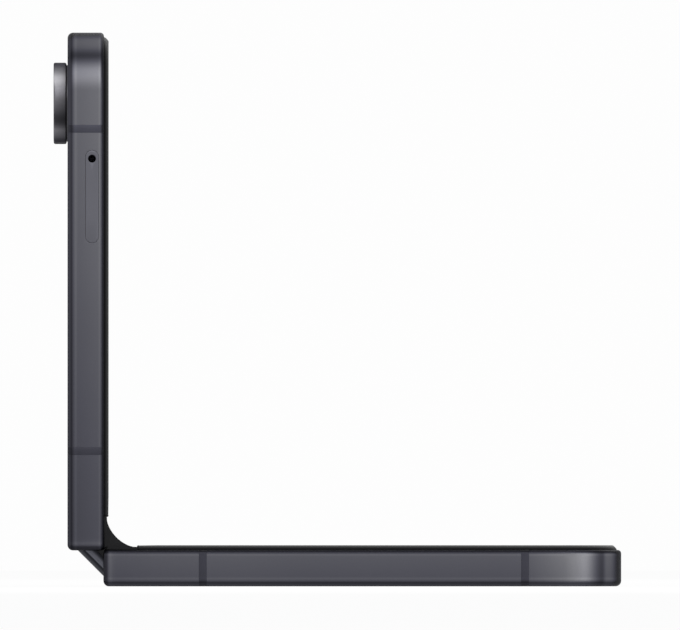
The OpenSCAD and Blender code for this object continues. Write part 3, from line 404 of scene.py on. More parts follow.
def half_outline(minus=(), free=(), plus=(), bands=()):
    """Outline of a half, from the hinge end round the free end and back: points, outward normals, which of them lie
    in a band's groove, and the patches of the holes."""
    flat_s, flat_y = HALF_L - CORNER_R, HALF_W - CORNER_R
    p, n, groove, patches = [], [], [], []

    def add(xy, normal, in_groove=None):
        p.append(xy)
        n.append(normal)
        groove.append(np.zeros(len(xy), bool) if in_groove is None else in_groove)

    def arc(cx, cy, r, a0, a1, steps):
        a = np.radians(np.linspace(a0, a1, steps))
        normal = np.stack([np.cos(a), np.sin(a)], -1)
        add(np.array([cx, cy]) + r * normal, normal)

    def straight(at, in_groove, spans, fixed, along, normal, flip):
        start = sum(len(x) for x in p)
        xy = np.zeros((len(at), 2))
        xy[:, along], xy[:, 1 - along] = at, fixed
        for first, last, hole in spans:
            a, b = (len(at) - 1 - last, len(at) - 1 - first) if flip else (first, last)
            patches.append(((start + a, start + b), at[first:last + 1], fixed, along, np.array(normal, float), hole))
        if flip:
            xy, in_groove = xy[::-1], in_groove[::-1]
        add(xy, np.tile(np.array(normal, float), (len(at), 1)), in_groove)

    add(np.array([[0, -CAVITY_Y]]), np.array([[-1.0, 0.0]]))
    arc(HINGE_CORNER, HINGE_CORNER - HALF_W, HINGE_CORNER, 180, 270, 9)
    at, g, spans = edge_stations(HINGE_CORNER + 0.05, flat_s - 0.05, minus, bands)
    straight(at, g, spans, -HALF_W, 0, (0, -1), False)
    arc(flat_s, -flat_y, CORNER_R, 270, 360, 33)
    at, g, spans = edge_stations(-flat_y + 0.05, flat_y - 0.05, free, ())
    straight(at, g, spans, HALF_L, 1, (1, 0), False)
    arc(flat_s, flat_y, CORNER_R, 0, 90, 33)
    at, g, spans = edge_stations(HINGE_CORNER + 0.05, flat_s - 0.05, plus, bands)
    straight(at, g, spans, HALF_W, 0, (0, 1), True)
    arc(HINGE_CORNER, HALF_W - HINGE_CORNER, HINGE_CORNER, 90, 180, 9)
    add(np.array([[0, CAVITY_Y]]), np.array([[-1.0, 0.0]]))
    return np.concatenate(p), np.concatenate(n), np.concatenate(groove), patches


def drawn_in(p, n, o):
    """Outline points moved in by depths o, kept clear of the rounded hinge corners."""
    q = p[:, None, :] - n[:, None, :] * o[..., None]
    q[..., 0] = np.maximum(q[..., 0], o)
    q[..., 1] = np.clip(q[..., 1], o - HALF_W, HALF_W - o)
    return q


def half_frame(name, place, body, node, lift, corner_painted_reflection, painted_length_light, minus=(), free=(), plus=()):
    """Rim carried along the outline, with a patch round each hole: rows that run from the patch's rectangle to the
    hole's outline, over a small lip, through the wall and out to the rectangle inside. Then the wall at the hinge end,
    hollowed by the turning spine, and the middle plate."""
    p, n, groove, patches = half_outline(minus, free, plus, BAND_PLACES)
    o, t, shade, flat_from, room_from = rim_section(lift)
    near = (p[:, 0] < FOLD_X + 0.01)[:, None]
    depth = np.broadcast_to(o, (len(p), len(o))).copy()
    depth = np.where(depth == WALL_MARK, np.where(near, SIDE_WALL, ROOM_WALL), depth)
    depth = np.where(depth == POCKET_MARK, np.where(near, SIDE_WALL, POCKET), depth)
    depth = np.where(groove[:, None], np.maximum(depth, 1.0), depth)
    q = drawn_in(p, n, depth)
    points = stacked(q[..., 0], q[..., 1], t)
    keep = np.ones((len(p) - 1, len(o)), bool)
    turn = np.abs(np.degrees(np.arctan2(n[:, 1], n[:, 0])))
    turn = np.where(p[:, 0] < 40, 0, np.abs(90 - np.where(turn > 90, 180 - turn, turn)))
    # Painted light along the outline: the rim's painted light along its length, its painted reflection bands round the
    # free corners and its painted shade by the hinge end; the outer face takes it whole, the inside its square root.
    painted_light_along = (painted_length_light(p[:, 0]) * corner_painted_reflection(turn) * painted_hinge_shading(p[:, 0]))[:, None]
    trim = as_painted_light(FACE_LEVEL * shade * np.where((o < 0.3) & (t > 0.5), painted_light_along, np.sqrt(painted_light_along)))
    shell = []
    for (first, last), along_at, fixed, along, normal, hole in patches:
        c, half_l, half_h, hole_t = hole[:4]
        lip = hole[6] if len(hole) > 6 else LIP
        keep[first:last, flat_from:flat_from + len(WALL_ROWS) - 1] = False
        keep[first:last, room_from:room_from + len(ROOM_ROWS) - 2] = False
        keep[first:last, room_from + len(ROOM_ROWS) - 2:] = False
        across = (along_at - along_at[0]) / (along_at[-1] - along_at[0])
        up = (WALL_ROWS - WALL_ROWS[0]) / (WALL_ROWS[-1] - WALL_ROWS[0])
        outer, inner = rectangle_loop(along_at, WALL_ROWS), rectangle_loop(along_at, ROOM_ROWS)
        centre = np.array([c, hole_t])

        def rim(r):
            return centre + stadium_loop(across, up, half_l - half_h, half_h + r)

        rows, depths = [], []
        for w in (0, 0.02, 0.05, 0.1, 0.17, 0.27, 0.42, 0.6, 0.8, 1):
            rows.append(outer * (1 - w) + rim(lip) * w)
            depths.append(0.0)
        for b in np.radians([30, 60, 90]):
            rows.append(rim(lip * (1 - np.sin(b))))
            depths.append(lip * (1 - np.cos(b)))
        for w in (0, 0.5, 1):
            rows.append(rim(0) * (1 - w) + inner * w)
            depths.append(ROOM_WALL)
        rows, depths = np.array(rows), np.array(depths)[:, None]
        patch = np.zeros(rows.shape[:2] + (3,))
        patch[..., along] = rows[..., 0]
        patch[..., 1 - along] = fixed - normal[1 - along] * depths
        patch[..., 2] = rows[..., 1]
        # The patch takes the rim's painted light, and its lip and bore are painted darker as shade.
        shade_here = painted_wall_shading(rows[..., 1] + lift) * painted_length_light(patch[..., 0]) * corner_painted_reflection(90.0 * abs(normal[0]))
        shade_here[10:12] *= LIP_SHADE if lip == LIP else SOFT_LIP_SHADE
        shade_here[12:] = BORE_SHADE
        shell.append(grid(patch, as_painted_light(FACE_LEVEL * shade_here), wrap_columns=True))
    shell.append(grid(points, trim, wrap_columns=True, keep=keep))
    shell += [points[0], points[-1]]

    back = np.radians(np.linspace(90, 0, 9))
    hollow = np.radians(np.linspace(-108.5, 0, 22))
    roll = stacked(BACK_EDGE * (1 - np.sin(back)), BACK_EDGE * (1 - np.cos(back)))[::-1]
    wall = np.concatenate([
        [[GLASS_LAND, GLASS_POCKET], [GLASS_LAND, 0]], roll, [[0, 1.15], [0.6, 1.15]],
        stacked(PIVOT_S + HOLLOW_R * np.cos(hollow), PIVOT_T + HOLLOW_R * np.sin(hollow)),
        [[FOLD_X, MID_TOP], [RIB_X, MID_TOP], [RIB_X, ROOM_TOP], [RIB_X, GLASS_POCKET]],
    ])
    block = stacked(wall[:, 0], np.linspace(-CAVITY_Y, CAVITY_Y, 9)[:, None], wall[:, 1])
    # The hinge end's rolled back edge is painted darker as shade.
    end = closed(block, np.where((wall[:, 0] < 0.93) & (wall[:, 1] < 1.2), -0.7, 0.0))
    plate = plate_shell(ROOM_WALL, RIB_X, [(0, ROOM_TOP), (0, MID_TOP)], 0.1)
    return piece(name, [shell, end, plate], place, 32, body, (node,))


def half_loop(inset, near, near_r, stations=(10, 7, 24, 14)):
    """Closed outline of a half drawn in by inset and cut off at near, with corner radius near_r there: points and
    normals of its -Y side from the middle of the hinge end to the middle of the free end, then of its +Y side."""
    r, w, l = CORNER_R - inset, HALF_W - inset, HALF_L - inset
    a = np.radians(np.linspace(180, 270, stations[1]))
    b = np.radians(np.linspace(270, 360, stations[2]))
    y_near = np.linspace(0, -(w - near_r), stations[0])[:-1]
    s_side = np.linspace(near + near_r, l - r, stations[3])[1:-1]
    y_free = np.linspace(-(w - r), 0, stations[0])[1:]
    p = np.concatenate([
        stacked(near, y_near), stacked(near + near_r + near_r * np.cos(a), -(w - near_r) + near_r * np.sin(a)),
        stacked(s_side, -w), stacked(l - r + r * np.cos(b), -(w - r) + r * np.sin(b)), stacked(l, y_free),
    ])
    n = np.concatenate([
        np.tile([-1.0, 0.0], (len(y_near), 1)), np.stack([np.cos(a), np.sin(a)], -1),
        np.tile([0.0, -1.0], (len(s_side), 1)), np.stack([np.cos(b), np.sin(b)], -1),
        np.tile([1.0, 0.0], (len(y_free), 1)),
    ])
    flip = np.array([1.0, -1.0])
    return np.concatenate([p, (p * flip)[-2:0:-1]]), np.concatenate([n, (n * flip)[-2:0:-1]]), len(p)


def plate_shell(inset, near, section, near_r=0.3, columns=12):
    """Flat closed piece of a half's outline: its section, as (depth in, height) from the bottom to the top, is carried
    round the outline, and ruled lines from side to side close the bottom and the top."""
    p, n, count = half_loop(inset, near, near_r)
    o, t = np.array(section).T
    q = p[:, None, :] - n[:, None, :] * o[None, :, None]
    q[..., 0] = np.maximum(q[..., 0], near + o)
    edge = stacked(q[..., 0], q[..., 1], t)
    shell = [grid(edge, wrap_rows=True)]
    for level in (0, -1):
        left = edge[:count, level]
        right = np.concatenate([left[:1], edge[:count - 1:-1, level], left[-1:]])
        shell.append(grid(ruled(left, right, columns)))
    return shell


def lower_painted_length_light(s):
    """Painted light along the lower rim's length s: even, and painted brighter near the free corner."""
    return 0.9 + 0.05 * bell(s, 20, 12) - 0.06 * bell(s, 3.5, 3) + ramp(s, 66, 78)


def upper_painted_length_light(s):
    """Painted light along the upper rim's length s: painted lighter slowly from the hinge to the free end."""
    return 0.72 + 0.63 * ramp(s, 0, 78)


# Each hole: its place along the edge, half length, half height, height of its middle, margin of its patch, number of
# the patch's columns and, where it isn't LIP, the width of its lip.
ROUND_HOLE = (0.5, 0.5, PORT_T, 0.6, 6)
sound_holes = [(11 + 2.2 * i,) + ROUND_HOLE for i in range(6)]
microphone = (-11.0,) + ROUND_HOLE
lower_rim = half_frame("lower_rim", in_lower, "lower_half", "lower_frame", 0.08, lower_corner_painted_reflection, lower_painted_length_light,
                       free=[microphone, (0.0, 4.52, 1.63, PORT_T, 0.6, 22)] + sound_holes)
upper_rim = half_frame("upper_rim", in_upper, "upper_half", "upper_frame", 0.0, upper_corner_painted_reflection, upper_painted_length_light,
                       minus=[(56.8, 7.47, 1.09, 3.93, 0.6, 30, 0.02)], free=[microphone],
                       plus=[(54.3116, 9.12, 1.12, 2.925, 0.6, 34), (32.3204, 8.12, 1.12, 2.925, 0.6, 30)])


def screen_colour(r, g, b):
    """Linear colour of 8-bit screen values: (c / 255 + 0.055) / 1.055 to the power 2.4 above 0.04."""
    c = np.array([r, g, b]) / 255.0
    c = np.where(c <= 0.04045, c / 12.92, ((c + 0.055) / 1.055) ** 2.4)
    return (float(c[0]), float(c[1]), float(c[2]), 1.0)


def new_group(name, inputs, outputs):
    """Empty shader group: inputs are (name, kind, value), outputs are (name, kind)."""
    group = bpy.data.node_groups.new(name, "ShaderNodeTree")
    for label, kind, value in inputs:
        socket = group.interface.new_socket(label, in_out="INPUT", socket_type="NodeSocket" + kind)
        socket.default_value = value
    for label, kind in outputs:
        group.interface.new_socket(label, in_out="OUTPUT", socket_type="NodeSocket" + kind)
    return group, group.nodes.new("NodeGroupInput").outputs, group.nodes.new("NodeGroupOutput").inputs


def sum_of(tree, a, b, how="ADD", clamp=False):
    """Output of a Math node on two sockets or numbers."""
    node = tree.nodes.new("ShaderNodeMath")
    node.operation, node.use_clamp = how, clamp
    for socket, value in zip(node.inputs, (a, b)):
        if isinstance(value, (int, float)):
            socket.default_value = value
        else:
            tree.links.new(value, socket)
    return node.outputs[0]


def mixed(tree, share, a, b, how="MIX"):
    """Output of a colour Mix node: a where share is 0, b where it is 1."""
    node = tree.nodes.new("ShaderNodeMix")
    node.data_type, node.blend_type = "RGBA", how
    for socket, value in zip((node.inputs[0], node.inputs[6], node.inputs[7]), (share, a, b)):
        if isinstance(value, (int, float, tuple)):
            socket.default_value = value
        else:
            tree.links.new(value, socket)
    return node.outputs[2]


def noise(tree, scale, detail=2.0, stretch=None):
    """Output of a noise on the piece's own coordinates, drawn out along an axis by stretch."""
    where = tree.nodes.new("ShaderNodeTexCoord").outputs["Object"]
    if stretch:
        mapping = tree.nodes.new("ShaderNodeMapping")
        mapping.inputs["Scale"].default_value = stretch
        tree.links.new(where, mapping.inputs["Vector"])
        where = mapping.outputs["Vector"]
    node = tree.nodes.new("ShaderNodeTexNoise")
    node.inputs["Detail"].default_value = detail
    if isinstance(scale, (int, float)):
        node.inputs["Scale"].default_value = scale
    else:
        tree.links.new(scale, node.inputs["Scale"])
    tree.links.new(where, node.inputs["Vector"])
    return node.outputs["Fac"]


def make_grain_group():
    """Fine grain with soft smudges: the height is a fine noise, the roughness is a middle value plus a share of a
    coarse one, and the tint lightens and darkens the colour by a few per cent."""
    group, given, result = new_group(
        "surface_grain",
        [("Colour", "Color", (0.5, 0.5, 0.5, 1)), ("Grain Scale", "Float", 6000.0), ("Smudge Scale", "Float", 60.0),
         ("Middle Roughness", "Float", 0.4), ("Smudge", "Float", 0.1), ("Mottle", "Float", 0.08)],
        [("Color", "Color"), ("Roughness", "Float"), ("Height", "Float")])
    fine, coarse = noise(group, given["Grain Scale"]), noise(group, given["Smudge Scale"], 4.0)
    swing = sum_of(group, coarse, -0.5)
    rough = sum_of(group, given["Middle Roughness"], sum_of(group, swing, given["Smudge"], "MULTIPLY"), clamp=True)
    speck = sum_of(group, sum_of(group, fine, -0.5), given["Mottle"], "MULTIPLY")
    cloud = sum_of(group, swing, sum_of(group, given["Mottle"], 1.5, "MULTIPLY"), "MULTIPLY")
    lightness = sum_of(group, 1.0, sum_of(group, speck, cloud))
    grey = group.nodes.new("ShaderNodeCombineColor")
    for socket in grey.inputs:
        group.links.new(lightness, socket)
    group.links.new(mixed(group, 1.0, given["Colour"], grey.outputs[0], "MULTIPLY"), result["Color"])
    group.links.new(rough, result["Roughness"])
    group.links.new(fine, result["Height"])
    return group


def make_painted_light_group():
    """Colour by the piece's painted light attribute: the rolled edges take the edge colour as painted shade, the thin
    lines beside them take the line colour as a painted highlight, and the rest keeps the face colour. On some small
    parts the same attribute marks print and gilt."""
    group, given, result = new_group(
        "painted_light_colours",
        [("Face", "Color", (0.1, 0.1, 0.1, 1)), ("Edge", "Color", (0.03, 0.03, 0.03, 1)),
         ("Line", "Color", (0.2, 0.2, 0.2, 1))],
        [("Color", "Color"), ("Edge Mask", "Float")])
    attribute = group.nodes.new("ShaderNodeAttribute")
    attribute.attribute_name = "trim"
    up = sum_of(group, attribute.outputs["Fac"], 1.0, "MULTIPLY", True)
    down = sum_of(group, attribute.outputs["Fac"], -1.0, "MULTIPLY", True)
    group.links.new(mixed(group, down, mixed(group, up, given["Face"], given["Line"]), given["Edge"]), result["Color"])
    group.links.new(down, result["Edge Mask"])
    return group


GRAIN, PAINTED_LIGHT_GROUP = make_grain_group(), make_painted_light_group()
SATIN = {"Specular Tint": (0.3, 0.3, 0.32, 1.0)}


def finish(name, colour, rough, metal, grain, smudge, mottle, grain_height, edge=None, line=None, coat=0.0,
           plain=None):
    """Material of one finish: the grain group, and the group of painted light where edge is given, feed the shader; the
    other sockets hold plain values. On most pieces the edge colour is painted shade and the line colour a painted
    highlight; on some small parts they are print and gilt. Colours are 8-bit screen values, and grain_height is in
    millimetres."""
    material = bpy.data.materials.new(name)
    material.use_nodes = True
    tree = material.node_tree
    shader = tree.nodes["Principled BSDF"]
    shader.inputs["Metallic"].default_value = metal
    shader.inputs["Coat Weight"].default_value = coat
    for socket, value in (plain or {}).items():
        shader.inputs[socket].default_value = value
    worn = tree.nodes.new("ShaderNodeGroup")
    worn.node_tree = GRAIN
    for socket, value in (("Colour", screen_colour(*colour)), ("Grain Scale", grain), ("Middle Roughness", rough),
                          ("Smudge", smudge), ("Mottle", mottle)):
        worn.inputs[socket].default_value = value
    if edge:
        rolled = tree.nodes.new("ShaderNodeGroup")
        rolled.node_tree = PAINTED_LIGHT_GROUP
        for socket, value in (("Face", colour), ("Edge", edge), ("Line", line or colour)):
            rolled.inputs[socket].default_value = screen_colour(*value)
        tree.links.new(rolled.outputs["Color"], worn.inputs["Colour"])
    tree.links.new(worn.outputs["Color"], shader.inputs["Base Color"])
    tree.links.new(worn.outputs["Roughness"], shader.inputs["Roughness"])
    lift = tree.nodes.new("ShaderNodeBump")
    lift.inputs["Distance"].default_value = grain_height * MM
    lift.inputs["Strength"].default_value = 0.35
    tree.links.new(worn.outputs["Height"], lift.inputs["Height"])
    tree.links.new(lift.outputs["Normal"], shader.inputs["Normal"])
    return material


# The rim's face colour is its dye; its edge colour is painted shade and its line colour a painted highlight.
dyed_aluminium_painted_light = finish("dyed_aluminium_painted_light", (74, 74, 82), 0.42, 0.75, 9000, 0.08, 0.05, 0.004,
                        edge=(26, 26, 32), line=(118, 118, 122), plain=SATIN)
for rim_piece in (lower_rim, upper_rim):
    rim_piece.data.materials.append(dyed_aluminium_painted_light)

# Antenna bands: strips of glass-filled plastic moulded into grooves of the rim, four on each half, ground flush with
# the metal so that only a slightly darker stripe shows.


def band_shells(far_painted_light):
    """Each band is the rim's own section from the back land to the screen-side land, closed one millimetre inside,
    carried across the groove on both long sides, its ends rolled in by a hundredth of a millimetre. It takes the rim's
    painted shading, scaled down, and the argument is how much lighter the band near the free end is painted."""
    o, t, *_, room_from = rim_section()
    cut = slice(2, room_from - 2)
    o = np.concatenate([[0.99], o[cut][1:], [0.99]])
    t = np.concatenate([[0.01], t[cut][1:], [METAL_T]])
    o = np.minimum(o, 0.99)
    shells = []
    for c, half in BAND_PLACES:
        shade = as_painted_light(FACE_LEVEL * np.minimum(painted_wall_shading(t) / 1.25, 1) * (1 + far_painted_light * (c > 40)))
        s = c + np.array([-half - 0.008, -half + 0.01, half - 0.01, half + 0.008])
        roll = np.array([0.006, 0.0, 0.0, 0.006])
        for side in (-1, 1):
            depth = np.minimum(o[None, :] + roll[:, None], 0.99)
            shells.append(closed(stacked(s[:, None], side * (HALF_W - depth), t), shade))
    return shells


# Its edge colour is painted shade and its line colour a painted highlight.
band_plastic = finish("band_plastic", (58, 58, 66), 0.45, 0.6, 7000, 0.1, 0.06, 0.006,
                      edge=(22, 22, 27), line=(92, 92, 104), plain=SATIN)
for name, place, body, painted_light_gain in (("lower", in_lower, "lower_half", 0.05), ("upper", in_upper, "upper_half", 0.32)):
    piece(name + "_bands", band_shells(painted_light_gain), place, 30, body, (name + "_antenna_bands",), band_plastic)

# ---------------------------------------------------------------- back glasses
# Toughened glass 0.5 mm thick, glued into a pocket of each rim, its edge ground round. The lower one is frosted in
# the phone's colour; the upper one is clear over the black cover screen.
GLASS_SECTION = [(0.14, 0.0), (0.05, 0.04), (0.0, 0.13), (0.0, 0.45), (0.05, 0.5)]

frosted_glass = finish("frosted_glass", (72, 73, 84), 0.3, 0.35, 12000, 0.06, 0.05, 0.002, coat=0.25)
black_glass = finish("black_glass", (16, 16, 20), 0.07, 0.0, 3000, 0.05, 0.1, 0.0, plain={"Specular IOR Level": 0.4})
for name, place, glass in (("lower", in_lower, frosted_glass), ("upper", in_upper, black_glass)):
    piece(name + "_glass", [plate_shell(1.0, 1.0, GLASS_SECTION, 0.35)], place, 40, name + "_half",
          (name + "_back_glass",), glass)

# ---------------------------------------------------------------- spine
# Cover of the hinge: a shell of stamped and dyed aluminium with a flat outer face and rounded shoulders that turn
# inside both halves. An end cap closes each end, with a wide bevel towards the outer face.
PIVOT_U, PIVOT_D, SPINE_R, SPINE_DEPTH, SPINE_WALL = 2.1, 1.25, 3.5, 4.6, 0.5
CAP_Y, SPINE_X, SPINE_Z = 34.75, -40.4510, 6.9688


def in_spine(p):
    """Row frame, in metres, of points (u, y, v) of the spine: v outwards from the open screen, u across the fold."""
    u, y, v = p[..., 0], p[..., 1], p[..., 2]
    return stacked(SPINE_X + (u + v) * np.sqrt(0.5), y, SPINE_Z + (v - u) * np.sqrt(0.5)) * MM


def spine_line(inset, top=-2.447):
    """Outline of the spine from its left top over the outer face to its right top, drawn in by inset: an arc of
    3.5 mm about each pivot down to the flat outer face."""
    r = SPINE_R - inset
    low = -(SPINE_DEPTH - inset)
    a_top = np.arcsin(np.clip((top + PIVOT_D) / r, -1, 0))
    a_low = np.arcsin(np.clip((low + PIVOT_D) / r, -1, 0))
    a = np.linspace(a_top, a_low, 20)
    u = PIVOT_U + r * np.cos(a)
    v = -PIVOT_D + r * np.sin(a)
    flat = np.linspace(-u[-1], u[-1], 9)[1:-1]
    return stacked(np.concatenate([-u, flat, u[::-1]]), np.concatenate([v, 0 * flat + low, v[::-1]]))


def cover_shell():
    """The outline and its copy 0.5 mm inside make one closed section, carried along the fold."""
    inner = spine_line(SPINE_WALL)
    ys = np.array([-CAP_Y, -CAP_Y + 0.04, -20, 0, 20, CAP_Y - 0.04, CAP_Y])
    rolls = np.array([0.03, 0, 0, 0, 0, 0, 0.03])
    rows = []
    for y, roll in zip(ys, rolls):
        line = np.concatenate([spine_line(roll), inner[::-1]])
        rows.append(stacked(line[:, 0], y, line[:, 1]))
    return closed(np.array(rows))


def cap_shell(side):
    """End cap: the spine's whole section from the cover's end outwards, its outer edge rolled in by 0.9 mm in a bevel
    with rounded shoulders, closed by ruled lines from its left half to its right half. The bevel is painted dark as
    shade with a painted highlight line beside it, the flat ends are painted darker towards their top as shadow, and the
    strip that closes the top is painted dark as shade."""
    bevel = [(0.0, 0.02, -0.2), (0.0, 0.18, -0.2), (0.05, 0.33, -0.5), (0.2, 0.55, -0.62), (0.5, 0.86, -0.72),
             (0.64, 1.0, -0.95), (0.86, 1.14, -1), (0.96, 1.18, -0.5), (1.04, 1.19, 0.3), (1.14, 1.2, 0.2),
             (1.3, 1.2, 0.0)]
    rows = []
    for inset, out, _ in bevel:
        line = spine_line(inset * 0.9)
        rows.append(stacked(line[:, 0], side * (CAP_Y - 0.01 + out), line[:, 1]))
    rows = np.array(rows)
    half = rows.shape[1] // 2 + 1
    shell = [grid(rows, np.array(bevel)[:, 2:])]
    for level in (0, -1):
        face = ruled(rows[level, :half], rows[level, ::-1][:half], 8)
        shell.append(grid(face, -ramp(face[..., 2], -3.3, -2.7)))
    return shell + [grid(ruled(rows[:, 0], rows[:, -1], 8), -1.0)]


# Its edge colour is painted shade and its line colour a painted highlight.
spine_metal = finish("spine_metal", (84, 85, 93), 0.36, 0.8, 9000, 0.08, 0.05, 0.004,
                     edge=(22, 23, 29), line=(108, 109, 117))
piece("spine_shell", [cover_shell()], in_spine, 32, "spine", ("spine_cover",), spine_metal)
piece("spine_ends", [cap_shell(-1), cap_shell(1)], in_spine, 40, "spine", ("spine_end_caps",),
      spine_metal)

# ---------------------------------------------------------------- inner screen
# A foldable display: a stiff stretch on each half and a bending one over the hinge, 0.35 mm of glass and film with no
# seam on top.
SCREEN_INSET, SCREEN_T, SCREEN_Z, SCREEN_Y = 1.95, 0.35, 5.5, 35.55
LOWER_PIVOT, FOLD_GAP, STRIP_ROWS = np.array([-39.85, 4.6]), 0.3, 36

screen_film = finish("screen_film", (12, 12, 15), 0.1, 0.0, 900, 0.05, 0.12, 0.0,
                     plain={"Specular IOR Level": 0.3})
SCREEN_SECTION = [(0.03, SCREEN_Z), (0.0, SCREEN_Z + 0.05), (0.0, METAL_T - 0.06), (0.06, METAL_T)]
for name, place, body in (("lower", in_lower, "lower_half"), ("upper", in_upper, "upper_half")):
    piece(name + "_screen", [plate_shell(SCREEN_INSET, 5.4, SCREEN_SECTION, 0.0001)], place, 30, body,
          ("display_" + name,), screen_film)


def turned(xz, pivot, angle):
    """Points (x, z) turned about a pivot by angles in radians, from +Z towards +X, as the fold's joints turn."""
    d = xz - pivot
    c, s = np.cos(angle), np.sin(angle)
    return pivot + stacked(d[..., 0] * c + d[..., 1] * s, d[..., 1] * c - d[..., 0] * s)


# Rest places, in (x, z) of the row frame, between which the strips bend: 4.5 mm out on the half, and 0.2 mm from the
# spine's middle plane.
BEND_FROM = np.array([HINGE_X + 4.5 - FOLD_GAP, METAL_T])
BEND_TO = turned(np.array([HINGE_X + 0.2 - FOLD_GAP, METAL_T]), LOWER_PIVOT, np.pi / 4)


def folded(flat):
    """Rest place of points that lie flat in the lower half's plane when the phone is flat: each is turned about the
    lower pivot by its share of 45 degrees, and the share is the smooth step of the place that it reaches, found by
    repeating the two."""
    along = BEND_TO - BEND_FROM
    share = np.zeros(flat.shape[:-1])
    for _ in range(60):
        rest = turned(flat, LOWER_PIVOT, np.pi / 4 * share)
        k = np.clip(((rest - BEND_FROM) @ along) / (along @ along), 0, 1)
        share = share * 0.4 + 0.6 * k * k * (3 - 2 * k)
    return turned(flat, LOWER_PIVOT, np.pi / 4 * share)


def other_half(xz):
    """Mirror image of (x, z) in the fold's middle plane, which swaps the halves: x and z change places."""
    return stacked(xz[..., 1] + BACK_X, xz[..., 0] - BACK_X)


def in_row(p):
    """Row frame, in metres, of points (x, y, z) that are given in it in millimetres."""
    return p * MM


def bend(strip, half, on_half, on_spine):
    """Bakes the strip's place into its mesh, for either half. on_half and on_spine, the places (x, z) on the half and
    on the spine, are given for the lower half and mirrored for the upper one, and are not used."""
    if half == "upper":
        on_half, on_spine = other_half(on_half), other_half(on_spine)
    if half == "lower":
        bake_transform(strip)
    else:
        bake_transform(strip)


def folding_strip(name, section, reach_u, node, material):
    """Two strips that bend over the fold, one for each half. section is the closed outline across the strip as
    (y, depth), carried from the half's end at u = reach_u to the middle at u = 0."""
    u = np.linspace(reach_u, 0, STRIP_ROWS)
    rest = folded(stacked((HINGE_X + u - FOLD_GAP)[:, None], METAL_T - section[:, 1]))
    for half, xz in (("lower", rest), ("upper", other_half(rest))):
        points = stacked(xz[..., 0], section[:, 0], xz[..., 1])
        strip = piece(name + "_" + half, [closed(points)], in_row, 35, None, (node,), material)
        bend(strip, half, BEND_FROM, BEND_TO)


def slab_section(half_y, top, bottom, roll):
    """Closed outline across a strip of width 2 half_y between depths top and bottom, its edges rolled by roll."""
    y = np.array([-half_y, -half_y, -half_y + roll, -half_y + 3 * roll, -half_y / 2, 0, half_y / 2, half_y - 3 * roll,
                  half_y - roll, half_y, half_y, half_y - roll, 0, -half_y + roll])
    d = np.array([bottom - roll, top + roll, top, top, top, top, top, top, top, top + roll, bottom - roll, bottom,
                  bottom, bottom])
    return np.stack([y, d], -1)


folding_strip("fold_screen", slab_section(SCREEN_Y, 0.0, SCREEN_T, 0.05), 5.7, "display_fold",
              screen_film)

# ---------------------------------------------------------------- bezels
# Soft plastic strips glued round the inner screen of each half, 0.75 mm proud of the metal, rounded on top. They keep
# the two screens apart when the phone is shut, and stop short of the fold.
BEZEL_FOOT, BEZEL_TOP, BEZEL_IN, BEZEL_OUT, BEZEL_NEAR = 5.85, 6.6, 0.72, 3.15, 5.45


def bezel_shell(slit, painted_light_gain):
    """Section with a flattened outer shoulder of 0.7 mm and a softer inner one, carried along the U of the outline.
    Its ends come down in a quarter round. slit is half the length of the sound opening beside it, and the last argument
    is the strength of the painted highlight on its top."""
    p, n = half_outline()[:2]
    use = p[:, 0] > BEZEL_NEAR
    p, n = p[use], n[use]
    ends = BEZEL_NEAR + np.array([0.0, 0.02, 0.06, 0.13, 0.24])
    lead = np.stack([ends, 0 * ends - HALF_W], -1)
    p = np.concatenate([lead, p, (lead * [1, -1])[::-1]])
    n = np.concatenate([np.tile([0.0, -1.0], (5, 1)), n, np.tile([0.0, 1.0], (5, 1))])
    if slit:
        cut = np.array([-slit - 0.12, -slit, slit, slit + 0.12])
        extra = np.stack([0 * cut + HALF_L, cut], -1)
        p = np.concatenate([p, extra])
        n = np.concatenate([n, np.tile([1.0, 0.0], (4, 1))])
        on_end = p[:, 0] > HALF_L - 1e-6
        where = np.nonzero(on_end)[0]
        first = where.min()
        body_rows = [i for i in range(len(p) - 4) if not on_end[i]]
        before = [i for i in body_rows if i < first]
        after = [i for i in body_rows if i > first]
        order = before + list(where[np.argsort(p[where, 1])]) + after
        p, n = p[order], n[order]
    outer = np.radians(np.linspace(0, 90, 11))
    inner = np.radians(np.linspace(0, 90, 7))
    o = np.concatenate([[BEZEL_IN], BEZEL_IN + 0.7 * (1 - np.cos(outer) ** 1.5), [1.6, 2.0, 2.45],
                        2.75 + 0.4 * np.sin(inner), [BEZEL_OUT]])
    t = np.concatenate([[BEZEL_FOOT], BEZEL_TOP - 0.7 * (1 - np.sin(outer) ** 1.5), [BEZEL_TOP] * 3,
                        BEZEL_TOP - 0.4 * (1 - np.cos(inner)), [BEZEL_FOOT]])
    depth = np.broadcast_to(o, (len(p), len(o))).copy()
    if slit:
        inside = (np.abs(p[:, 1]) < slit + 0.01) & (p[:, 0] > HALF_L - 1e-6)
        depth = np.where(inside[:, None], np.maximum(depth, BEZEL_IN + 0.5), depth)
    down = np.interp(p[:, 0], ends, [0.3, 0.15, 0.07, 0.02, 0.0])
    top = np.minimum(np.broadcast_to(t, depth.shape), (BEZEL_TOP - down)[:, None])
    q = p[:, None, :] - n[:, None, :] * depth[..., None]
    # Painted light: the strip is painted dark as shade below 6 mm, near the metal, and its top takes the painted
    # highlight.
    return closed(stacked(q[..., 0], q[..., 1], top), ramp(t, 6.0, 6.2) - 1 + painted_light_gain * ramp(t, 6.2, 6.45))


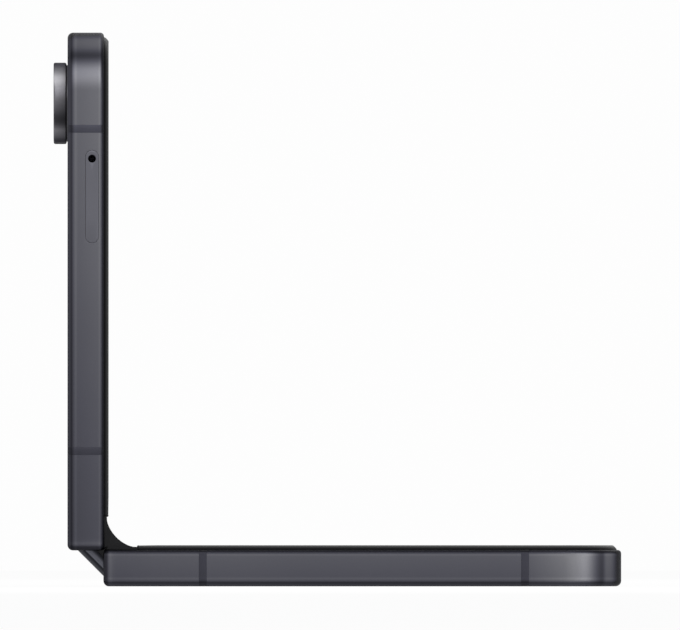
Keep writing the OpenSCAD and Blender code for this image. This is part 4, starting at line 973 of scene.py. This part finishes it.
# Its edge colour is painted shade and its line colour a painted highlight.
bezel_plastic = finish("bezel_plastic", (32, 32, 33), 0.5, 0.0, 5000, 0.1, 0.1, 0.01,
                       edge=(10, 10, 12), line=(78, 78, 78), plain={"Specular IOR Level": 0.05})
for name, place, slit, painted_light_gain in (("lower", in_lower, 0.0, 1.0), ("upper", in_upper, 4.5, 0.5)):
    piece(name + "_bezel_strip", [bezel_shell(slit, painted_light_gain)], place, 40, name + "_half", (name + "_bezel",),
          bezel_plastic)

# Earpiece mesh: a strip of fine woven steel 9 by 0.45 mm, dyed black and glued in the slit beside the upper bezel.
SLIT_S, SLIT_HALF = (82.07, 82.55), 4.48
MESH_TOP, MESH_DEPTH, MESH_FOOT, PITCH_ALONG, PITCH_ACROSS = 6.12, 0.07, 5.86, 0.3, 0.24


def mesh_strip():
    """Woven surface: its height is the product of two cosines, with waves of 0.3 mm along the slit and 0.24 mm across
    it; its rim is folded down to the metal."""
    y = np.linspace(-SLIT_HALF, SLIT_HALF, 181)[:, None]
    s = np.linspace(SLIT_S[0], SLIT_S[1], 11)[None, :]
    pits = 0.5 - 0.5 * np.cos(2 * np.pi * y / PITCH_ALONG) * np.cos(2 * np.pi * (s - SLIT_S[0]) / PITCH_ACROSS)
    top = stacked(s, y, MESH_TOP - MESH_DEPTH * pits)
    border = np.concatenate([top[0], top[1:, -1], top[-1, -2::-1], top[-2:0:-1, 0]])
    foot = border.copy()
    foot[:, 2] = MESH_FOOT
    return [grid(top, -pits), grid(np.stack([border, foot]), wrap_columns=True), foot]


woven_steel = finish("woven_steel", (72, 72, 74), 0.4, 0.6, 9000, 0.1, 0.1, 0.004, edge=(8, 8, 9))
piece("earpiece_mesh", [mesh_strip()], in_upper, 60, "upper_half", (), woven_steel)

# ---------------------------------------------------------------- web at the fold
# Elastic web of black rubber at both ends of the fold, which fills the corner between the halves beside the bending
# screen. A thin strip of it lies along the bending screen, curved as the screen is, and the gusset stands above it.
WEB_Y0, WEB_Y1, WEB_H, WEB_REACH, WEB_POWER, METAL_X = 35.6, 36.75, 0.48, 4.55, 1.67, -41.5698


def web_line():
    """Side outline of the gusset in (x, z): a curve with x and z as powers of the sine and cosine, 0.48 mm off both
    metal planes at its ends, then back along the planes into the gap between the metal ends."""
    a = np.radians(np.linspace(0, 90, 41))
    x = METAL_X + WEB_H + WEB_REACH * (1 - np.sin(a) ** (2 / WEB_POWER))
    z = METAL_T + WEB_H + WEB_REACH * (1 - np.cos(a) ** (2 / WEB_POWER))
    tail = [(-41.0898, 11.23), (METAL_X, 11.23), (METAL_X, 6.25), (-41.63, 5.87), (-42.1, 5.74), (-42.62, 5.7),
            (-41.72, 4.8), (-41.68, 5.32), (-41.55, 5.79), (-41.17, 5.85), (-36.19, 5.85), (-36.19, 6.33)]
    return np.concatenate([stacked(x, z), tail])


def gusset_shell(side):
    """The outline with its outer edge rolled by 0.15 mm, closed by a ruled fan from its middle on both faces."""
    line = web_line()
    middle = np.array([-40.9, 6.5])
    rows = []
    for inset, y in ((0.0, WEB_Y0), (0.0, WEB_Y1 - 0.12), (0.03, WEB_Y1 - 0.04), (0.1, WEB_Y1)):
        toward = middle - line
        pulled = line + toward / np.linalg.norm(toward, axis=1)[:, None] * inset
        rows.append(stacked(pulled[:, 0], side * y, pulled[:, 1]))
    rows = np.array(rows)
    fans = []
    for level, y in ((0, WEB_Y0), (-1, WEB_Y1)):
        centre = np.broadcast_to([middle[0], side * y, middle[1]], rows[level].shape)
        fans.append(grid(np.stack([rows[level], centre]), wrap_columns=True))
    return [grid(rows, wrap_columns=True)] + fans


web_rubber = finish("web_rubber", (31, 31, 32), 0.6, 0.0, 4000, 0.1, 0.1, 0.01,
                    plain={"Specular IOR Level": 0.05})
gusset = piece("web_gusset", [gusset_shell(-1), gusset_shell(1)], in_row, 35, "spine", ("fold_web",),
               web_rubber)
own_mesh(gusset)


def web_strip_section(side):
    """Closed outline across the thin strip of the web, on one side of the phone."""
    y = np.array([WEB_Y0 + 0.02, WEB_Y1 - 0.12, WEB_Y1 - 0.05, WEB_Y1 - 0.05, WEB_Y1 - 0.12, WEB_Y0 + 0.02])
    d = np.array([-0.36, -0.36, -0.3, -0.1, -0.03, -0.03])
    return stacked(side * y, d)


for label, side in (("keys", 1), ("tray", -1)):
    folding_strip("web_strip_" + label, web_strip_section(side), 5.6, "fold_web", web_rubber)

# ---------------------------------------------------------------- camera rings
# Two rings of turned and polished aluminium that stand out of the upper back, each with a neck under its rim, and
# in each the lens: a black stepped barrel under a clear glass.
RING_S, RING_Y, RING_H, RING_FACE, RING_LINE = 72.6, (26.8, 11.3), 2.32, 0.127, 0.515


def disc_rows(centre, profile, steps=72):
    """Surface of revolution about the half's thickness: the profile's radii and heights, carried round a circle."""
    a = np.linspace(0, 2 * np.pi, steps, endpoint=False)
    r, t = profile[:, :1], profile[:, 1:2]
    return stacked(centre[0] + r * np.cos(a), centre[1] + r * np.sin(a), t)


def disc_shell(centre, profile, steps=72):
    """Closed surface of revolution. The profile's third column, where it has one, is the trim value."""
    trim = profile[:, 2:3] if profile.shape[1] > 2 else 0.0
    return [grid(disc_rows(centre, profile, steps), trim, wrap_columns=True)]


def ring_profile():
    """Radius, height and painted shade of a ring, from inside its bore over the rim to its neck and its foot: the bore
    is painted darker as shade, the bevel at its mouth and its top face lighter as painted highlights, and the neck
    under the rim darker as shade.
    """
    a = np.radians(np.linspace(90, 0, 7))
    return np.array([
        (4.3, 0.5, 0.3), (4.3, -1.16, 0.3), (4.94, -1.16, 0.3), (4.94, -2.02, 0.5), (4.99, -2.12, 0.7),
        (5.2, -2.3, 1.8), (5.24, -RING_H, 1.4), (6.1, -RING_H, 1)]
        + [(6.22 + 0.28 * np.cos(x), -2.04 - 0.28 * np.sin(x), 1) for x in a]
        + [(6.5, -0.5, 1), (6.47, -0.37, 0.92), (6.38, -0.28, 0.85), (6.22, -0.23, 0.8), (6.12, -0.21, 0.7),
           (6.1, -0.18, 0.7), (6.1, 0.5, 0.7)])


def ring_painted_reflection(c):
    """Painted reflection on the ring's turned side by c, the cosine of the angle from its top: one bright stretch high
    up, a dark one below the middle, a fainter bright one under it, and dark again at the very top and bottom."""
    return (0.155 + 0.39 * bell(c, 0.58, 0.16) - 0.11 * bell(c, -0.43, 0.28) + 0.09 * bell(c, -0.69, 0.09)
            - 0.1 * ramp(np.abs(c), 0.8, 0.98))


# Its edge colour is painted shade and its line colour a painted highlight.
turned_metal_painted_reflection = finish("turned_metal_painted_reflection", (100, 99, 104), 0.42, 0.85, 9000, 0.06, 0.04, 0.002,
                      edge=(26, 26, 29), line=(190, 189, 194), plain=SATIN)
rings = []
for y in RING_Y:
    profile = ring_profile()
    rows = disc_rows((RING_S, y), profile, 96)
    c = np.cos(np.linspace(0, 2 * np.pi, 96, endpoint=False))
    # The turned side takes the painted reflection bands; the rest of the ring keeps the face level times its painted
    # shade.
    level = np.where(profile[:, :1] > 6.3, ring_painted_reflection(c), RING_FACE) * profile[:, 2:3]
    rings.append([grid(rows, as_painted_light(level, RING_FACE, RING_LINE), wrap_rows=True, wrap_columns=True)])
piece("camera_ring_pair", rings, in_upper, 30, "upper_half", ("camera_rings",), turned_metal_painted_reflection)

barrels, glasses, elements = [], [], []
for y in RING_Y:
    barrel = np.array([(0, -0.3), (1.95, -0.3), (2.0, -0.5), (2.4, -0.52), (2.42, -0.7), (2.8, -0.72), (2.85, -0.95),
                       (3.5, -0.97), (3.55, -1.08), (4.2, -1.1), (4.2, 0.6), (0, 0.6)])
    barrels.append(disc_shell((RING_S, y), barrel))
    pane = np.array([(0, -1.15, 0), (2.6, -1.15, 0), (2.62, -1.15, -1), (4.86, -1.15, -1), (4.9, -1.2, -1),
                     (4.9, -1.72, -1), (4.84, -1.8, -1), (4.6, -1.84, -1), (2.62, -1.868, -1), (2.6, -1.868, 0),
                     (0, -1.87, 0)])
    glasses.append(disc_shell((RING_S, y), pane))
    dome = np.radians(np.linspace(0, 42, 12))
    bulge = stacked(2.75 * np.sin(dome), -0.28 - 2.75 * (np.cos(dome) - np.cos(dome[-1])))
    bulge = np.concatenate([bulge, [(1.86, -0.26), (1.86, -0.1), (0, -0.1)]])
    hue = -ramp(bulge[:, 0], 0.5, 1.5)
    elements.append(disc_shell((RING_S, y), np.column_stack([bulge, hue]), 48))
barrel_black = finish("barrel_black", (13, 13, 15), 0.35, 0.2, 3000, 0.1, 0.1, 0.003)
piece("lens_barrels", barrels, in_upper, 30, "upper_half", ("camera_modules",), barrel_black)

# The pane over each lens is clear in the middle and printed black from below round it. Under it the front element
# of the lens bulges a little, with a coating that throws back a violet-blue tint.
lens_glass = finish("lens_glass", (235, 238, 245), 0.02, 0.0, 800, 0.02, 0.01, 0.0,
                    edge=(3, 3, 4), plain={"Transmission Weight": 1.0, "IOR": 1.5})
piece("lens_panes", glasses, in_upper, 30, "upper_half", ("camera_lenses",), lens_glass)
coated_lens = finish("coated_lens", (38, 42, 92), 0.04, 0.2, 900, 0.02, 0.02, 0.0,
                     edge=(9, 8, 16), coat=0.5)
piece("lens_fronts", elements, in_upper, 30, "upper_half", (), coated_lens)

# Flash: a diffuser of milky plastic with pressed rings, set flush in the back glass beside the cameras.
FLASH_Y = -0.5
ripple = np.linspace(0, 2.0, 41)
flash_wave = np.cos(ripple * 2 * np.pi / 0.4)
# The pressed rings are painted lighter and darker with their wave as shading, and the diffuser's rim painted darker as
# shade.
flash_profile = np.concatenate([
    stacked(ripple, -0.012 + 0.008 * flash_wave, 0.25 * flash_wave - 0.25),
    [(2.08, -0.014, -1), (2.15, -0.01, -1), (2.2, 0.01, -1), (2.2, 0.9, 0), (0, 0.9, 0)]])
flash_plastic = finish("flash_plastic", (224, 220, 200), 0.25, 0.0, 2500, 0.1, 0.06, 0.004, edge=(150, 146, 128),
                       coat=0.5)
piece("flash_diffuser", [disc_shell((RING_S, FLASH_Y), flash_profile)], in_upper, 50, "upper_half", ("flash_lens",),
      flash_plastic)

# Inner camera: its lens shows in a round hole of the inner screen near the free end, under the screen's film.
CAMERA_S, CAMERA_R = 77.1, 1.75
eye = np.array([(0, 5.856, -1), (0.42, 5.856, -0.8), (0.5, 5.856, 0.2), (0.62, 5.856, 1), (0.7, 5.856, 0),
                (1.3, 5.856, 0), (1.34, 5.856, 0.5), (1.42, 5.856, 0.5), (1.46, 5.856, 0),
                (CAMERA_R - 0.02, 5.855, 0), (CAMERA_R, 5.85, 0), (CAMERA_R, 5.8, 0), (0, 5.8, 0)])
eye_glass = finish("eye_glass", (5, 5, 6), 0.06, 0.0, 900, 0.03, 0.05, 0.0, edge=(30, 34, 78), line=(52, 52, 56),
                   plain={"Specular IOR Level": 0.3})
piece("inner_camera_lens", [disc_shell((CAMERA_S, 0.0), eye)], in_upper, 50, "upper_half", (), eye_glass)

# ---------------------------------------------------------------- keys and card tray
# Volume rocker and power key: aluminium caps dyed with the rim, domed a little, in slots of the long side opposite
# the tray. The tray's head is ground flush with the rim and has the hole for the eject pin.
KEY_OUT, KEY_IN, KEY_T = 0.35, 2.0, 2.925


def key_shell(s, length):
    """Stadium carried outwards from behind the wall, its face rolled over by 0.2 mm and crowned in the middle."""
    half, r = length / 2 - 1.0, 1.0
    xs, ys = np.linspace(0, 1, 25), np.linspace(0, 1, 7)
    steps = [(0.0, -KEY_IN + 0.1), (0.0, KEY_OUT - 0.2), (0.02, KEY_OUT - 0.12), (0.06, KEY_OUT - 0.06),
             (0.13, KEY_OUT - 0.025), (0.2, KEY_OUT - 0.01), (0.5, KEY_OUT)]
    rows = []
    for inset, out in steps:
        loop = stadium_loop(xs, ys, half, r - inset)
        rows.append(stacked(s + loop[:, 0], HALF_W + out, KEY_T + loop[:, 1]))
    centre_line = stadium_loop(xs, ys, half, 1e-4)
    for out in (-KEY_IN + 0.1, KEY_OUT):
        rows.insert(0 if out < 0 else len(rows), stacked(s + centre_line[:, 0], HALF_W + out, KEY_T))
    return [grid(np.array(rows), wrap_columns=True)]


key_metal = finish("key_metal", (80, 81, 90), 0.34, 0.8, 9000, 0.08, 0.05, 0.003)
for name, node, body, s, length in (("volume_cap", "volume_rocker", "volume_key", 54.3116, 18.0),
                                    ("power_cap", "power_key", "power_button", 32.3204, 16.0)):
    piece(name, [key_shell(s, length)], in_upper, 40, body, (node,), key_metal)

TRAY_S, TRAY_T, TRAY_HALF, TRAY_R, EJECT_S, EJECT_R = 56.8, 3.93, 7.45, 1.075, 62.9, 0.6


def tray_head_shell():
    """Face between the head's stadium and the round hole, ruled from the one to the other, a rolled edge at both, the
    head's side 1.2 mm deep, and the blind hole with its cone."""
    xs, ys = np.linspace(0, 1, 41), np.linspace(0, 1, 9)
    outline = lambda r: stadium_loop(xs, ys, TRAY_HALF - TRAY_R, r) + [TRAY_S, TRAY_T]
    middle = np.array([EJECT_S, TRAY_T])
    around = np.arctan2(outline(TRAY_R)[:, 1] - middle[1], outline(TRAY_R)[:, 0] - middle[0])
    hole = lambda r: middle + r * stacked(np.cos(around), np.sin(around))
    rows = [(outline(TRAY_R), 1.2), (outline(TRAY_R), 0.06), (outline(TRAY_R - 0.02), 0.02),
            (outline(TRAY_R - 0.06), 0.0)]
    for w in (0.3, 0.6, 0.85):
        rows.append((outline(TRAY_R - 0.06) * (1 - w) + hole(EJECT_R + 0.08) * w, 0.0))
    rows += [(hole(EJECT_R + 0.08), 0.0), (hole(EJECT_R + 0.02), 0.02), (hole(EJECT_R), 0.08), (hole(EJECT_R), 0.4),
             (hole(0.03), 1.15)]
    points = np.array([stacked(loop[:, 0], deep - HALF_W, loop[:, 1]) for loop, deep in rows])
    # Painted light: the rolled edges are painted darker as shade, the face lighter towards the line colour as a
    # highlight, and the blind hole black as shade.
    return closed(points, np.array([0, -0.5, -0.3, 0.4, 0.4, 0.4, 0.4, 0.3, -0.5, -1, -1, -1])[:, None])


def tray_plate_shell():
    """Plate that carries the card, 0.8 mm thick: a rounded rectangle with a rounded rectangle cut out of it."""
    lo, hi, near, far = 49.9, 62.0, 1.2, 20.0
    xs, ys = np.linspace(0, 1, 13), np.linspace(0, 1, 17)
    card_lo, card_hi, card_near, card_far = 51.55, 60.35, 5.7, 18.0
    outer = rectangle_loop(lo + (hi - lo) * xs, near + (far - near) * ys)
    inner = rectangle_loop(card_lo + (card_hi - card_lo) * xs, card_near + (card_far - card_near) * ys)
    rolled, cut = outer * 0.98 + inner * 0.02, inner * 0.98 + outer * 0.02
    rows = []
    for loop, height in ((outer, -0.34), (outer, 0.34), (rolled, 0.4), (cut, 0.4), (inner, 0.34), (inner, -0.34),
                         (cut, -0.4), (rolled, -0.4)):
        rows.append(stacked(loop[:, 0], loop[:, 1] - HALF_W, TRAY_T + height))
    return [grid(np.array(rows), wrap_rows=True, wrap_columns=True)]


tray_metal = finish("tray_metal", (74, 74, 82), 0.42, 0.75, 9000, 0.08, 0.05, 0.004, edge=(5, 5, 6),
                    line=(118, 118, 124), plain=SATIN)
piece("card_tray_body", [tray_head_shell(), tray_plate_shell()], in_upper, 40, "tray", ("card_tray",),
      tray_metal)

# ---------------------------------------------------------------- pieces inside
# Steel of the hinge: pressed arms, turned shafts and pins, sintered gears, screws, washers, wing plates and the thin
# plates that back the screen. Each keeps its CAD shape and gets the finish of its own trade.


def dress(material, *nodes):
    """Puts a material on the CAD nodes of these names."""
    for node in nodes:
        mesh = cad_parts[node].data
        mesh.materials.clear()
        mesh.materials.append(material)


dress(finish("pressed_steel", (150, 150, 152), 0.38, 1.0, 5000, 0.15, 0.08, 0.004), "hinge_arms_lower",
      "hinge_arms_upper", "hinge_brackets", "centre_bar", "lower_wing_plate", "upper_wing_plate")
dress(finish("sintered_steel", (108, 106, 102), 0.5, 0.9, 9000, 0.15, 0.15, 0.01), "main_gears_lower",
      "main_gears_upper", "idler_gears_lower", "idler_gears_upper")
dress(finish("turned_steel", (178, 177, 175), 0.24, 1.0, 12000, 0.1, 0.05, 0.002), "hinge_shafts_lower",
      "hinge_shafts_upper", "idler_pins", "friction_washers")
dress(finish("zinc_screws", (160, 162, 166), 0.3, 1.0, 8000, 0.15, 0.08, 0.003), "bracket_screws", "lower_screws",
      "upper_screws")
dress(finish("screen_backing", (120, 120, 124), 0.45, 0.9, 6000, 0.12, 0.06, 0.003), "display_plate_lower",
      "display_plate_upper")

# Power and boards: foil cells in printed wrap, glass-fibre boards with green mask, tinned shield cans, copper coil,
# nickel-plated magnets, and moulded blocks for sound, cards, vibration and cameras.
dress(finish("cell_wrap", (38, 40, 44), 0.35, 0.3, 2500, 0.15, 0.12, 0.01), "lower_battery", "upper_battery")
dress(finish("board_mask", (24, 66, 44), 0.4, 0.0, 1500, 0.15, 0.3, 0.01), "lower_board", "main_board")
dress(finish("shield_tin", (172, 172, 170), 0.28, 1.0, 5000, 0.15, 0.05, 0.003), "shield_cans", "card_reader")
dress(finish("coil_copper", (184, 112, 70), 0.35, 1.0, 4000, 0.15, 0.15, 0.01), "charging_coil")
dress(finish("magnet_nickel", (188, 186, 180), 0.2, 1.0, 6000, 0.1, 0.05, 0.001), "lower_magnets", "upper_magnets")
dress(finish("moulded_black", (30, 30, 32), 0.5, 0.0, 5000, 0.12, 0.1, 0.01), "loudspeaker", "vibration_motor",
      "earpiece", "selfie_camera")
dress(finish("switch_film", (196, 130, 60), 0.35, 0.1, 2500, 0.12, 0.15, 0.004), "key_switch_board")
dress(finish("cover_panel", (9, 9, 12), 0.1, 0.0, 900, 0.05, 0.1, 0.0, coat=0.8), "cover_display")

# Charging socket: a drawn steel shell with a rolled mouth, and in it a tongue of black plastic with twelve gilt
# contacts on each face. It sits on the lower board, behind its opening in the rim.
SOCKET_W, SOCKET_H, SOCKET_BACK, SOCKET_MOUTH, SOCKET_WALL = 8.94, 3.16, 75.7, 83.0, 0.3
TONGUE_W, TONGUE_T, TONGUE_END = 6.6, 0.7, 82.0


def socket_shell():
    """Stadium outlines carried along the plug's way: out over the shell, round its mouth, back along its inside and
    across its floor."""
    xs, ys = np.linspace(0, 1, 25), np.linspace(0, 1, 9)
    half, r = SOCKET_W / 2 - SOCKET_H / 2, SOCKET_H / 2
    rows = []
    for inset, s in ((r - 0.001, SOCKET_BACK), (0.1, SOCKET_BACK), (0.0, SOCKET_BACK + 0.1), (0.0, SOCKET_MOUTH - 0.15),
                     (0.04, SOCKET_MOUTH - 0.04), (0.15, SOCKET_MOUTH), (0.26, SOCKET_MOUTH - 0.04),
                     (SOCKET_WALL, SOCKET_MOUTH - 0.15), (SOCKET_WALL, SOCKET_BACK + 0.9),
                     (r - 0.001, SOCKET_BACK + 0.9)):
        loop = stadium_loop(xs, ys, half, r - inset)
        rows.append(stacked(s, loop[:, 0], PORT_T + loop[:, 1]))
    return [grid(np.array(rows), wrap_columns=True)]


def tongue_shell():
    """Flat bar with its end rounded; along its width the contacts are a square wave of the trim value."""
    y = np.linspace(-TONGUE_W / 2, TONGUE_W / 2, 145)
    gilt = ((y + TONGUE_W / 2) % 0.5 > 0.12) & (np.abs(y) < 3.0)
    way = [(SOCKET_BACK + 0.8, 0.5, 0), (77.6, 0.5, 0), (77.7, 0.5, 1), (TONGUE_END - 0.5, 0.5, 1),
           (TONGUE_END - 0.4, 0.5, 0), (TONGUE_END - 0.1, 0.45, 0), (TONGUE_END, 0.3, 0)]
    way = np.array(way + [(s, -t, shade) for s, t, shade in way[::-1]])
    rows = stacked(way[:, :1], y, PORT_T + TONGUE_T * way[:, 1:2])
    return [grid(rows, way[:, 2:3] * gilt, wrap_rows=True), rows[:, 0], rows[:, -1]]


socket_steel = finish("socket_steel", (150, 150, 152), 0.3, 1.0, 5000, 0.15, 0.08, 0.003)
tongue_black = finish("tongue_black", (22, 22, 23), 0.5, 0.0, 5000, 0.1, 0.1, 0.006, edge=(22, 22, 23),
                      line=(196, 160, 92))
piece("charging_shell", [socket_shell()], in_lower, 35, "lower_half", ("usb_port",), socket_steel)
piece("charging_tongue", [tongue_shell()], in_lower, 35, "lower_half", ("usb_port",), tongue_black)

# Flat cable between the halves: copper tracks in amber film, in a loose curve under the screen.
CABLE_Y, CABLE_T, CABLE_V, CABLE_ROWS = 4.0, 0.15, -3.2, 36
CABLE_ON_HALF, CABLE_ON_SPINE = 14, -4


def cable_line():
    """The cable's middle line in (x, z), from the lower half's clamp to the spine's middle, in equal steps and rounded
    by moving each point six times to the mean of its place and its neighbours'."""
    on_spine = in_spine(np.array([[2.1, 0, CABLE_V + CABLE_T / 2], [0.0, 0, CABLE_V + CABLE_T / 2]]))[:, [0, 2]] * 1000
    line = np.concatenate([[[-32.05, 3.375], [-34.5, 3.375], [-36.65, 3.375]], on_spine])
    length = np.concatenate([[0], np.cumsum(np.linalg.norm(np.diff(line, axis=0), axis=1))])
    f = np.linspace(0, length[-1], CABLE_ROWS)
    xz = stacked(np.interp(f, length, line[:, 0]), np.interp(f, length, line[:, 1]))
    for _ in range(6):
        xz[1:-1] = (xz[:-2] + 2 * xz[1:-1] + xz[2:]) / 4
    return xz


def cable_section(middle):
    """Corners (x, z) of the cable 0.15 mm thick at each point of its middle line, and their places across."""
    along = np.gradient(middle, axis=0)
    along /= np.linalg.norm(along, axis=1)[:, None]
    along[-1] = np.array([-0.70711, 0.70711])
    normal = stacked(-along[:, 1], along[:, 0])
    corners = np.array([(-CABLE_Y, -0.5), (-CABLE_Y, 0.5), (CABLE_Y, 0.5), (CABLE_Y, -0.5)])
    return middle[:, None, :] + normal[:, None, :] * corners[None, :, 1:2] * CABLE_T, corners[:, 0]


cable_film = finish("cable_film", (196, 124, 52), 0.3, 0.1, 3000, 0.12, 0.15, 0.003)
cable_middle = cable_line()
cable_rows, cable_across = cable_section(cable_middle)
for half, xz in (("lower", cable_rows), ("upper", other_half(cable_rows))):
    strip = piece("flat_cable_" + half, [closed(stacked(xz[..., 0], cable_across, xz[..., 1]))], in_row, 35, None,
                  ("fold_flex_cable",), cable_film)
    bend(strip, half, cable_middle[CABLE_ON_HALF], cable_middle[CABLE_ON_SPINE])
